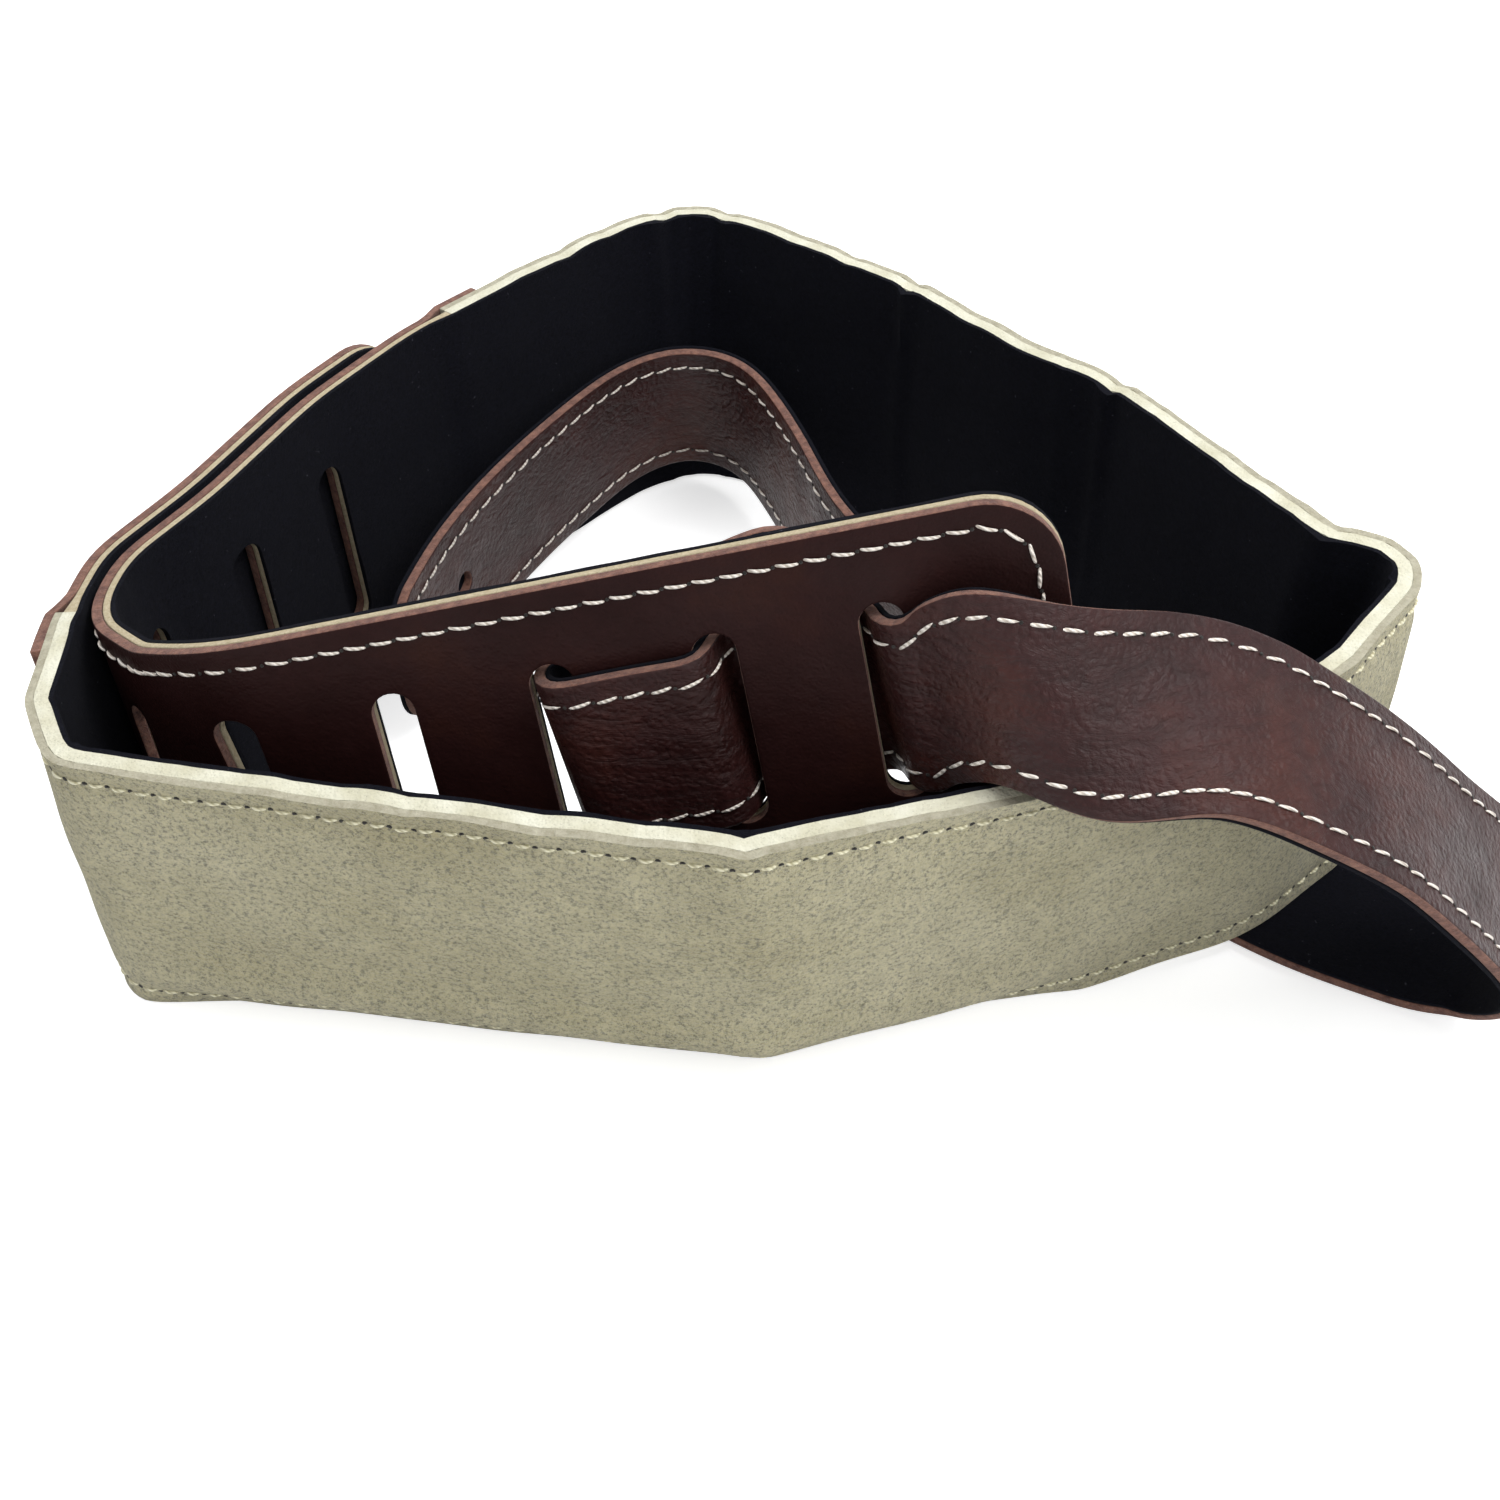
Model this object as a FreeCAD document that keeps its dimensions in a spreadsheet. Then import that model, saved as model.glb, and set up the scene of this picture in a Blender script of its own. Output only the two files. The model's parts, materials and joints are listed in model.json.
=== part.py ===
import FreeCAD, Part
import math
import os
import Sketcher
from FreeCAD import Placement, Rotation, Vector

# A wide padded strap with a narrow adjuster strap woven through its slotted end.  The strap stands on
# its long edge, coiled into a loop, so every ply is a ribbon that follows one guide surface: the outer
# face of the wide band.  Millimetres, +Z up, origin under the middle of the whole object on the floor.

doc = FreeCAD.newDocument("strap")

SIZES = [
    # alias, value, what it is
    ("band_width", 75.0, "width of the wide band, standing up"),
    ("suede_thickness", 1.6, "outer suede ply"),
    ("foam_thickness", 3.0, "padding under the suede"),
    ("panel_leather", 2.3, "smooth leather of the slotted panel and of the end tab"),
    ("panel_felt", 1.6, "thin padding under the slotted panel"),
    ("lining_thickness", 1.0, "felt lining, all the way along"),
    ("panel_length", 345.0, "slotted panel, along the band from its free end"),
    ("lap_rise", 6.0, "length in which leather climbs on to the suede"),
    ("lap_length", 12.0, "leather lying on the suede at each lap"),
    ("end_tab_length", 128.0, "leather tab at the other end, lap included"),
    ("slot_count", 9.0, "adjuster slots"),
    ("slot_width", 8.4, "slot, across"),
    ("slot_length", 43.4, "slot, across the band"),
    ("slot_first", 34.2, "first slot centre from the free end of the panel"),
    ("slot_pitch", 31.4, "slot centre to slot centre"),
    ("panel_corner", 15.0, "corner radius of the panel and of the end tab"),
    ("adjuster_width", 38.0, "width of the narrow strap"),
    ("adjuster_leather_t", 2.4, "grained leather of the narrow strap"),
    ("adjuster_lining_t", 1.0, "lining of the narrow strap"),
    ("adjuster_corner", 12.0, "corner radius at the ends of the narrow strap"),
    ("weave_gap", 0.8, "narrow strap to panel where they pass"),
    ("weave_radius", 4.0, "bend of the narrow strap at a slot"),
    ("weave_angle", 70.0, "slope of the narrow strap inside a slot, degrees"),
    ("button_hole_radius", 3.0, "strap button hole"),
    ("button_hole_from_end", 34.0, "button hole centre from the end of the narrow strap"),
    ("adjuster_holed_end", 62.0, "end of the narrow strap kept as a solid of its own, round its button hole"),
    ("tab_hole_from_end", 22.0, "button hole centre from the end of the end tab"),
    ("wall_gap", 0.8, "between the two layers of band at the overlap"),
    ("under_gap", 0.6, "band edge above the narrow strap on the floor"),
    ("stitch_inset", 4.5, "stitch line from a long edge"),
    ("end_inset", 5.0, "stitch line from a cut end"),
    ("thread_width", 0.8, "thread, across"),
    ("thread_height", 0.35, "thread, proud of the face"),
    ("frame_x", -0.84, "object's middle in the plan the guide points are given in"),
    ("frame_y", -3.54, "object's middle in the plan the guide points are given in"),
]

sheet = doc.addObject("Spreadsheet::Sheet", "Sizes")
for row, (alias, value, note) in enumerate(SIZES, start=1):
    sheet.set("A%d" % row, alias)
    sheet.set("B%d" % row, str(value))
    sheet.set("C%d" % row, note)
    sheet.setAlias("B%d" % row, alias)
doc.recompute()


def size(alias):
    """Value of one cell of the sheet, as a plain number."""
    return float(sheet.get(alias))


BAND = size("band_width")
SUEDE_STACK = size("suede_thickness") + size("foam_thickness") + size("lining_thickness")
PANEL_STACK = size("panel_leather") + size("panel_felt") + size("lining_thickness")
STRAP = size("adjuster_leather_t") + size("adjuster_lining_t")
LIFT = STRAP + size("thread_height") + size("under_gap")
UP = Vector(0, 0, 1)
ORIGIN = Vector(size("frame_x"), size("frame_y"), 0)

# ---------------------------------------------------------------- guide of the wide band
# Corners of the band's bottom outer edge, from the free end of the panel round to the end tab:
# x, y, height above the floor, lean of the wall in x and in y (share of the width), corner radius.
PANEL_CORNERS = [
    (52.8, -90.1, 55.0, -0.208, 0.169, 0.0),
    (-101.4, -88.6, 16.1, -0.210, 0.150, 45.0),
    (-123.0, -83.0, 7.5, -0.140, 0.220, 18.0),
]
# The stretch of wall that the end tab lies against, fold first.
BACKED_CORNERS = [
    (-137.0, -63.0, 1.0, -0.150, 0.165, 20.0),
    (-136.0, -37.0, 0.0, -0.130, 0.080, 28.0),
    (-125.0, -14.0, 0.0, -0.093, 0.067, 60.0),
    (-110.0, 18.0, 0.0, -0.080, 0.093, 90.0),
    (-93.0, 44.0, 0.3, -0.053, 0.115, 90.0),
]
LOOP_CORNERS = [
    (-49.0, 90.0, 0.3, -0.053, 0.107, 60.0),
    (-28.0, 104.5, 0.0, 0.000, 0.093, 24.0),
    (-1.0, 88.5, 0.0, -0.020, 0.093, 40.0),
    (29.0, 68.0, 0.0, -0.040, 0.080, 12.0),
    (51.0, 42.0, 0.0, 0.013, 0.040, 60.0),
    (69.0, 27.0, 0.4, 0.027, 0.053, 12.0),
    (93.0, -9.0, 2.2, 0.013, 0.013, 60.0),
    (103.0, -25.5, LIFT, 0.027, -0.020, 14.0),
    (116.5, -31.0, LIFT, 0.027, -0.013, 10.0),
    (120.0, -50.0, LIFT, 0.000, 0.067, 10.0),
    (92.0, -74.0, LIFT, 0.080, 0.020, 45.0),
    (51.0, -87.0, 0.5, 0.000, -0.112, 80.0),
    (-12.0, -107.0, 0.0, -0.053, -0.107, 10.0),
    (-146.0, -88.0, 0.0, 0.013, -0.053, 10.0),
    (-152.0, -74.0, 0.0, -0.013, -0.013, 14.0),
]
ARC_STEP = math.radians(16.0)


def in_plan(corner):
    return Vector(corner[0], corner[1], 0)


def turn_at(corners, i):
    """Turn in plan at one corner, in radians."""
    arrive = in_plan(corners[i]) - in_plan(corners[i - 1])
    leave = in_plan(corners[i + 1]) - in_plan(corners[i])
    return arrive.getAngle(leave)


def stand_off(corners, distance):
    """The same corners moved square off the wall, away from the loop."""
    moved = []
    for i, corner in enumerate(corners):
        before = in_plan(corners[max(i - 1, 0)])
        after = in_plan(corners[min(i + 1, len(corners) - 1)])
        out = UP.cross((after - before).normalize())
        inner = 0 < i < len(corners) - 1
        mitre = 1.0 / math.cos(turn_at(corners, i) / 2.0) if inner else 1.0
        moved.append((corner[0] + out.x * distance * mitre, corner[1] + out.y * distance * mitre) + corner[2:])
    return moved


# The end tab lies on the outside of the backed stretch: its outer face stands off by its own stack.
CORNERS = PANEL_CORNERS + BACKED_CORNERS + LOOP_CORNERS
CORNERS += stand_off(BACKED_CORNERS, PANEL_STACK + size("wall_gap"))


def rail(height):
    """Points along the band at one height up its width, with a tangent arc at each corner."""
    line = []
    for x, y, lift, lean_x, lean_y, _ in CORNERS:
        up_wall = Vector(lean_x, lean_y, math.sqrt(1.0 - lean_x ** 2 - lean_y ** 2))
        line.append(Vector(x, y, lift) - ORIGIN + up_wall * height)
    points = [line[0]]
    for i in range(1, len(line) - 1):
        arrive = (line[i] - line[i - 1]).normalize()
        leave = (line[i + 1] - line[i]).normalize()
        turn = arrive.getAngle(leave)
        radius = CORNERS[i][5]
        centre = line[i] + (leave - arrive).normalize() * (radius / math.cos(turn / 2.0))
        first = line[i] - arrive * (radius * math.tan(turn / 2.0))
        last = line[i] + leave * (radius * math.tan(turn / 2.0))
        axis = (first - centre).cross(last - centre)
        steps = max(2, math.ceil(turn_at(CORNERS, i) / ARC_STEP))
        for k in range(steps + 1):
            spin = Rotation(axis, math.degrees(turn) * k / steps)
            points.append(centre + spin.multVec(first - centre))
    points.append(line[-1])
    return points


def along(points):
    """Distance along a line of points, at each point."""
    lengths = [0.0]
    for one, two in zip(points, points[1:]):
        lengths.append(lengths[-1] + (two - one).Length)
    return lengths


SPANS_AT_ONCE = 12
KEEP_DIRECTION = 1


def skin(sections):
    """Solid through four-cornered sections, with straight lines between matching corners."""
    faces = []
    for first in range(0, len(sections) - 1, SPANS_AT_ONCE):
        some = sections[first:first + SPANS_AT_ONCE + 1]
        rails = [Part.makePolygon([section[k] for section in some]) for k in range(4)]
        for one, two in zip(rails, rails[1:] + rails[:1]):
            faces += Part.makeRuledSurface(one, two, KEEP_DIRECTION).Faces
    if sections[0] != sections[-1]:
        for section in (sections[0], sections[-1]):
            faces.append(Part.Face(Part.makePolygon(section + section[:1])))
    shell = Part.makeShell(faces)
    shell.sewShape()
    solid = Part.makeSolid(shell)
    if solid.Volume < 0:
        solid.reverse()
    return solid


class Ribbon:
    """A strip between two edge lines, with places on it given as (distance, width, depth)."""

    def __init__(self, low, high, width):
        self.low = low
        self.high = high
        self.width = width
        middle = [(a + b) * 0.5 for a, b in zip(low, high)]
        self.at = along(middle)
        self.length = self.at[-1]
        facets = []
        for i in range(len(low) - 1):
            facets.append((middle[i + 1] - middle[i]).cross(high[i] - low[i] + high[i + 1] - low[i + 1]).normalize())
        self.inward = [facets[0]]
        for one, two in zip(facets, facets[1:]):
            self.inward.append((one + two).normalize())
        self.inward.append(facets[-1])

    def place(self, distance, width, depth):
        """Point at a distance along, a width up from the low edge and a depth in from the outer face."""
        distance = min(max(distance, 0.0), self.length)
        i = max(k for k in range(len(self.at) - 1) if self.at[k] <= distance + 1e-9)
        share = (distance - self.at[i]) / (self.at[i + 1] - self.at[i])
        low = self.low[i] + (self.low[i + 1] - self.low[i]) * share
        high = self.high[i] + (self.high[i + 1] - self.high[i]) * share
        inward = (self.inward[i] + (self.inward[i + 1] - self.inward[i]) * share).normalize()
        return low + (high - low) * (width / self.width) + inward * depth

    def frame(self, distance, width, depth=0.0):
        """Placement with X along the ribbon, Y up its width and Z into its thickness."""
        origin = self.place(distance, width, depth)
        ahead = self.place(distance + 1.0, width, 0.0) - self.place(distance - 1.0, width, 0.0)
        across = self.place(distance, self.width, 0.0) - self.place(distance, 0.0, 0.0)
        return Placement(origin, Rotation(ahead, across, Vector(0, 0, 0), "XYZ"))

    def stops(self, first, last, extra=()):
        """Distances between two ends at which the ribbon bends, with some more."""
        inner = [d for d in list(self.at) + list(extra) if first + 0.05 < d < last - 0.05]
        kept = [first]
        for d in sorted(inner):
            if d - kept[-1] > 0.05:
                kept.append(d)
        return kept + [last]

    def ply(self, first, last, layers):
        """Solid over the whole width; layers holds (distance, outer depth, inner depth)."""
        sections = []
        for d in self.stops(first, last, [layer[0] for layer in layers]):
            outer = between(layers, d, 1)
            inner = between(layers, d, 2)
            ring = [(0.0, outer), (self.width, outer), (self.width, inner), (0.0, inner)]
            sections.append([self.place(d, w, depth) for w, depth in ring])
        return skin(sections)

    def thread(self, path, outer):
        """Thread laid on the outer face along (distance, width) points; outer gives the face's depth."""
        half = size("thread_width") / 2.0
        high = size("thread_height")
        ring_path = path[0] == path[-1]
        sections = []
        for i, (d, w) in enumerate(path[:-1] if ring_path else path):
            before = path[i - 1] if i else path[-2 if ring_path else 0]
            after = path[min(i + 1, len(path) - 1)]
            run = Vector(after[0] - before[0], after[1] - before[1], 0).normalize()
            side = Vector(-run.y, run.x, 0) * half
            face = outer(d)
            ring = [(1, 0.0), (-1, 0.0), (-1, -high), (1, -high)]
            sections.append([self.place(d + side.x * k, w + side.y * k, face + depth) for k, depth in ring])
        return skin(sections + sections[:1] if ring_path else sections)


def between(table, distance, column):
    """Value in a table at a distance, straight between its rows."""
    if distance <= table[0][0]:
        return table[0][column]
    for one, two in zip(table, table[1:]):
        if distance <= two[0]:
            share = (distance - one[0]) / (two[0] - one[0])
            return one[column] + (two[column] - one[column]) * share
    return table[-1][column]


band = Ribbon(rail(0.0), rail(BAND), BAND)

# ---------------------------------------------------------------- plies of the wide band
SUEDE_START = size("panel_length") - size("lap_length")
RISE_START = SUEDE_START - size("lap_rise")
TAB_START = band.length - size("end_tab_length")
SUEDE_END = TAB_START + size("lap_length")
DROP_END = SUEDE_END + size("lap_rise")
SUEDE = size("suede_thickness")
LEATHER = size("panel_leather")
PANEL_CORE = LEATHER + size("panel_felt")
SUEDE_CORE = SUEDE + size("foam_thickness")
LINING = size("lining_thickness")

PANEL_LAYERS = [(0.0, 0.0, LEATHER), (RISE_START, 0.0, LEATHER), (SUEDE_START, -LEATHER, 0.0)]
FELT_LAYERS = [(0.0, LEATHER, PANEL_CORE), (RISE_START, LEATHER, PANEL_CORE), (SUEDE_START, LEATHER, SUEDE_CORE)]
FOAM_LAYERS = [(SUEDE_START, SUEDE, SUEDE_CORE)]
TAB_FELT_LAYERS = [(SUEDE_END, SUEDE, SUEDE_CORE), (DROP_END, LEATHER, PANEL_CORE)]
TAB_LAYERS = [(SUEDE_END, -LEATHER, 0.0), (DROP_END, 0.0, LEATHER)]
LINING_LAYERS = [
    (RISE_START, PANEL_CORE, PANEL_CORE + LINING),
    (SUEDE_START, SUEDE_CORE, SUEDE_CORE + LINING),
    (SUEDE_END, SUEDE_CORE, SUEDE_CORE + LINING),
    (DROP_END, PANEL_CORE, PANEL_CORE + LINING),
]


def feature(name, shape):
    """A free-form piece of the document."""
    item = doc.addObject("Part::Feature", name)
    item.Label = name
    item.Shape = shape
    return item


def cut(name, base, tools):
    """Base piece with the tools taken out of it, as a chain of the document's own cuts."""
    for number, tool in enumerate(tools, start=1):
        result = doc.addObject("Part::Cut", "%s_cut_%d" % (name, number))
        result.Base = base
        result.Tool = tool
        base = result
    base.Label = name
    return base


blanks = {
    "suede_face": band.ply(SUEDE_START, SUEDE_END, [(SUEDE_START, 0.0, SUEDE)]),
    "foam_padding": band.ply(SUEDE_START, SUEDE_END, FOAM_LAYERS),
    "felt_lining": band.ply(0.0, band.length, LINING_LAYERS),
    "slotted_panel": band.ply(0.0, size("panel_length"), PANEL_LAYERS),
    "panel_felt": band.ply(0.0, SUEDE_START, FELT_LAYERS),
    "end_tab": band.ply(TAB_START, band.length, TAB_LAYERS),
    "end_tab_felt": band.ply(SUEDE_END, band.length, TAB_FELT_LAYERS),
}
blanks = {name: feature(name + "_blank", shape) for name, shape in blanks.items()}

# ---------------------------------------------------------------- punches
PUNCH_DEPTH = 16.0

punch = doc.addObject("PartDesign::Body", "slot_punch")
sketch = punch.newObject("Sketcher::SketchObject", "slot_outline")
plane = [f for f in punch.Origin.OriginFeatures if f.Role == "XY_Plane"][0]
sketch.AttachmentSupport = [(plane, "")]
sketch.MapMode = "FlatFace"


def slot_outline(width, length):
    """Rounded slot about the origin: two straight sides, each constrained, and two half rounds."""
    half = width / 2.0
    straight = (length - width) / 2.0
    sketch.addGeometry(Part.LineSegment(Vector(half, -straight, 0), Vector(half, straight, 0)), False)
    top = Part.Circle(Vector(0, straight, 0), UP, half)
    sketch.addGeometry(Part.ArcOfCircle(top, 0.0, math.pi), False)
    sketch.addGeometry(Part.LineSegment(Vector(-half, straight, 0), Vector(-half, -straight, 0)), False)
    bottom = Part.Circle(Vector(0, -straight, 0), UP, half)
    sketch.addGeometry(Part.ArcOfCircle(bottom, math.pi, 2.0 * math.pi), False)
    for one, two in ((0, 1), (1, 2), (2, 3), (3, 0)):
        sketch.addConstraint(Sketcher.Constraint("Tangent", one, 2, two, 1))
    sketch.addConstraint(Sketcher.Constraint("Vertical", 0))
    sketch.addConstraint(Sketcher.Constraint("PointOnObject", 1, 3, -2))
    sketch.addConstraint(Sketcher.Constraint("Symmetric", 1, 3, 3, 3, -1, 1))
    across = sketch.addConstraint(Sketcher.Constraint("Radius", 1, half))
    sides = sketch.addConstraint(Sketcher.Constraint("Distance", 0, length - width))
    sketch.setExpression("Constraints[%d]" % across, "Sizes.slot_width / 2")
    sketch.setExpression("Constraints[%d]" % sides, "Sizes.slot_length - Sizes.slot_width")


slot_outline(size("slot_width"), size("slot_length"))
pad = punch.newObject("PartDesign::Pad", "slot_pad")
pad.Profile = sketch
pad.Length = PUNCH_DEPTH
pad.Midplane = True

hole_punch = doc.addObject("Part::Cylinder", "hole_punch")
hole_punch.setExpression("Radius", "Sizes.button_hole_radius")
hole_punch.Height = PUNCH_DEPTH


def corner_punch(name, alias):
    """What a rounded corner takes off: a square beside a round, centred on the corner's round."""
    block = doc.addObject("Part::Box", name + "_block")
    block.setExpression("Length", "Sizes.%s * 1.5" % alias)
    block.setExpression("Width", "Sizes.%s * 1.5" % alias)
    block.Height = PUNCH_DEPTH
    disc = doc.addObject("Part::Cylinder", name + "_disc")
    disc.setExpression("Radius", "Sizes." + alias)
    disc.Height = PUNCH_DEPTH
    result = doc.addObject("Part::Cut", name)
    result.Base = block
    result.Tool = disc
    return result


panel_corner = corner_punch("panel_corner_punch", "panel_corner")
adjuster_corner = corner_punch("adjuster_corner_punch", "adjuster_corner")
doc.recompute()


def punched(name, tool, places):
    """One compound of copies of a punch, each in its place."""
    copies = []
    for place in places:
        copy = tool.Shape.copy()
        copy.Placement = place.multiply(tool.Placement)
        copies.append(copy)
    return feature(name, Part.makeCompound(copies))


def centred(place):
    """The place moved back by half the depth of a punch that starts at its own origin."""
    return place.multiply(Placement(Vector(0, 0, -PUNCH_DEPTH / 2.0), Rotation()))


def corner_places(ribbon, radius, at_start):
    """Where the corner punch goes at one end of a ribbon: the upper and the lower corner."""
    distance = radius if at_start else ribbon.length - radius
    upper = ribbon.frame(distance, ribbon.width - radius)
    lower = ribbon.frame(distance, radius)
    turns = (90.0, 180.0) if at_start else (0.0, 270.0)
    return [centred(p.multiply(Placement(Vector(), Rotation(UP, turn)))) for p, turn in zip((upper, lower), turns)]


SLOTS = [size("slot_first") + size("slot_pitch") * i for i in range(int(size("slot_count")))]
MIDDLE = BAND / 2.0
# The slot punch starts just off the outer face, so that it leaves the end tab outside it whole.
SLOT_PUNCH_MIDDLE = PUNCH_DEPTH / 2.0 - size("wall_gap") * 0.3
slots = punched("slot_row", punch, [band.frame(s, MIDDLE, SLOT_PUNCH_MIDDLE) for s in SLOTS])
tab_hole = punched("tab_hole", hole_punch, [centred(band.frame(band.length - size("tab_hole_from_end"), MIDDLE))])
panel_corners = punched("panel_corners", panel_corner, corner_places(band, size("panel_corner"), True))
tab_corners = punched("tab_corners", panel_corner, corner_places(band, size("panel_corner"), False))

nodes = {
    "suede_face": blanks["suede_face"],
    "foam_padding": blanks["foam_padding"],
    "felt_lining": cut("felt_lining", blanks["felt_lining"], [slots, panel_corners, tab_corners, tab_hole]),
    "slotted_panel": cut("slotted_panel", blanks["slotted_panel"], [slots, panel_corners]),
    "panel_felt": cut("panel_felt", blanks["panel_felt"], [slots, panel_corners]),
    "end_tab": cut("end_tab", blanks["end_tab"], [tab_corners, tab_hole]),
    "end_tab_felt": cut("end_tab_felt", blanks["end_tab_felt"], [tab_corners, tab_hole]),
}

# ---------------------------------------------------------------- route of the narrow strap
WIDTH = size("adjuster_width")
FRONT = -(size("weave_gap") + STRAP / 2.0)
BEHIND = PANEL_STACK + size("weave_gap") + STRAP / 2.0

# The middle of the strap, and the way one of its edges lies, from its button hole: round the inside
# of the loop on edge, down on to the floor, out under the wall, up outside it and over its rim.
FREE_ROUTE = [
    (-95.0, -13.5, 23.0, 0.04, 0.02, -1.00),
    (-86.5, 15.0, 25.0, 0.05, 0.04, -1.00),
    (-74.0, 40.0, 27.0, 0.05, 0.06, -1.00),
    (-57.0, 66.0, 28.5, 0.04, 0.08, -0.99),
    (-42.5, 82.0, 29.0, 0.02, 0.12, -0.99),
    (-31.0, 86.5, 29.0, 0.00, 0.14, -0.99),
    (-20.0, 82.5, 29.0, -0.02, 0.13, -0.99),
    (-10.0, 68.0, 28.5, -0.03, 0.10, -0.99),
    (-1.5, 46.0, 27.5, -0.02, 0.05, -1.00),
    (9.0, 21.0, 25.5, 0.00, 0.03, -1.00),
    (24.0, 4.5, 23.0, 0.16, 0.18, -0.97),
    (45.0, -12.5, 18.5, 0.42, 0.52, -0.74),
    (66.0, -29.5, 9.0, 0.58, 0.74, -0.35),
    (84.0, -44.5, 3.2, 0.62, 0.78, -0.05),
    (97.0, -54.5, 2.15, 0.58, 0.81, 0.00),
    (111.0, -64.0, 2.15, 0.50, 0.87, 0.00),
    (124.0, -70.5, 2.15, 0.47, 0.88, 0.00),
    (134.0, -75.2, 3.0, 0.46, 0.89, 0.00),
    (140.6, -79.0, 7.0, 0.45, 0.89, 0.00),
    (143.3, -83.0, 14.0, 0.43, 0.90, 0.00),
    (142.0, -87.3, 24.0, 0.39, 0.92, 0.01),
    (136.0, -90.0, 34.0, 0.36, 0.93, 0.02),
    (123.0, -92.5, 49.0, 0.27, 0.96, 0.07),
    (106.0, -93.5, 66.0, 0.19, 0.97, 0.15),
    (86.0, -94.0, 80.5, 0.11, 0.95, 0.29),
    (65.0, -93.2, 89.7, 0.03, 0.90, 0.43),
    (46.5, -97.0, 91.8, -0.06, 0.72, 0.69),
    (33.0, -94.9, 95.3, -0.19, 0.475, 0.86),
    (23.8, -89.6, 94.2, -0.255, 0.263, 0.93),
]
# The tail behind the panel: distance from the panel's free end, depth behind its face, height up it.
TAIL = [(88.0, 13.0, 37.6), (80.0, 21.0, 39.5), (70.0, 29.0, 42.5), (58.0, 33.0, 45.0), (44.0, 33.0, 46.0)]
BAR_ROUND_UP = 0.5
LEAD = 3.0


def slot_crossing(distance, start, end):
    """Stations (distance, depth) through a slot, away from the panel's free end, on two equal bends."""
    slope = math.radians(size("weave_angle"))
    radius = size("weave_radius")
    rise = abs(end - start)
    side = 1.0 if end > start else -1.0
    straight = (rise - 2.0 * radius * (1.0 - math.cos(slope))) / math.sin(slope)
    reach = radius * math.sin(slope) + straight * math.cos(slope) / 2.0
    bend = []
    for share in (0.0, 0.5, 1.0):
        angle = slope * share
        bend.append((reach - radius * math.sin(angle), radius * (1.0 - math.cos(angle))))
    bend.insert(0, (reach + LEAD, 0.0))
    first = [(distance - away, start + side * drop) for away, drop in bend]
    second = [(distance + away, end - side * drop) for away, drop in reversed(bend)]
    return first + second


def bar_turn(edge):
    """Stations (distance, depth) round the edge of a bar, from the panel's front to behind it."""
    middle = (FRONT + BEHIND) / 2.0
    radius = (BEHIND - FRONT) / 2.0
    stations = [(edge - BAR_ROUND_UP - LEAD, FRONT)]
    for degrees in range(-90, 91, 30):
        angle = math.radians(degrees)
        stations.append((edge - BAR_ROUND_UP + radius * math.cos(angle), middle + radius * math.sin(angle)))
    return stations


woven = slot_crossing(SLOTS[0], FRONT, BEHIND)[1:]
woven += slot_crossing(SLOTS[1], BEHIND, FRONT)
woven += bar_turn(SLOTS[2] - size("slot_width") / 2.0)
woven = [(distance, depth, MIDDLE) for distance, depth in woven]
route = [(Vector(x, y, z) - ORIGIN, Vector(*edge)) for x, y, z, *edge in FREE_ROUTE]
for distance, depth, height in woven + TAIL:
    up_panel = band.frame(distance, MIDDLE).Rotation.multVec(Vector(0, 1, 0))
    route.append((band.place(distance, height, depth), up_panel))

centre_line = Part.BSplineCurve()
centre_line.interpolate([point for point, _ in route])
FREE_STEPS = 3
# Over the last free stations the strap racks sideways as it climbs from its slot over the rim.
RACKED = 4
WOVEN_STEPS = 2


def strap_rails():
    """The two edges of the narrow strap, square to its middle line."""
    params = [centre_line.parameter(point) for point, _ in route]
    stations = []
    for i in range(len(route) - 1):
        weaving = len(FREE_ROUTE) <= i < len(FREE_ROUTE) + len(woven)
        steps = WOVEN_STEPS if weaving else FREE_STEPS
        for k in range(steps):
            stations.append((i, k / steps))
    stations.append((len(route) - 2, 1.0))
    low = []
    high = []
    for i, share in stations:
        param = params[i] + (params[i + 1] - params[i]) * share
        ahead = centre_line.tangent(param)[0]
        edge = route[i][1] * (1.0 - share) + route[i + 1][1] * share
        if not len(FREE_ROUTE) - RACKED <= i <= len(FREE_ROUTE):
            edge = edge - ahead * edge.dot(ahead)
        edge.normalize()
        point = centre_line.value(param)
        low.append(point - edge * (WIDTH / 2.0))
        high.append(point + edge * (WIDTH / 2.0))
    return low, high


strap = Ribbon(*strap_rails(), WIDTH)
FACE = -STRAP / 2.0
BACK = FACE + size("adjuster_leather_t")
# The leather's end round the button hole is a solid of its own, so that the long run has no bore in it.
HOLED_END = size("adjuster_holed_end")
end_blank = feature("adjuster_end_blank", strap.ply(0.0, HOLED_END, [(0.0, FACE, BACK)]))
leather_blank = feature("adjuster_leather_blank", strap.ply(HOLED_END, strap.length, [(0.0, FACE, BACK)]))
lining_blank = feature("adjuster_lining_blank", strap.ply(0.0, strap.length, [(0.0, BACK, STRAP / 2.0)]))
hole_place = centred(strap.frame(size("button_hole_from_end"), WIDTH / 2.0))
strap_hole = punched("strap_hole", hole_punch, [hole_place])
strap_ends = corner_places(strap, size("adjuster_corner"), True)
strap_ends += corner_places(strap, size("adjuster_corner"), False)
strap_corners = punched("strap_corners", adjuster_corner, strap_ends)
nodes["adjuster_end"] = cut("adjuster_end", end_blank, [strap_corners, strap_hole])
nodes["adjuster_leather"] = cut("adjuster_leather", leather_blank, [strap_corners])
nodes["adjuster_lining"] = cut("adjuster_lining", lining_blank, [strap_corners, strap_hole])

# ---------------------------------------------------------------- stitching
INSET = size("stitch_inset")
END_INSET = size("end_inset")
ROUND_STEPS = 5


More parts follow.
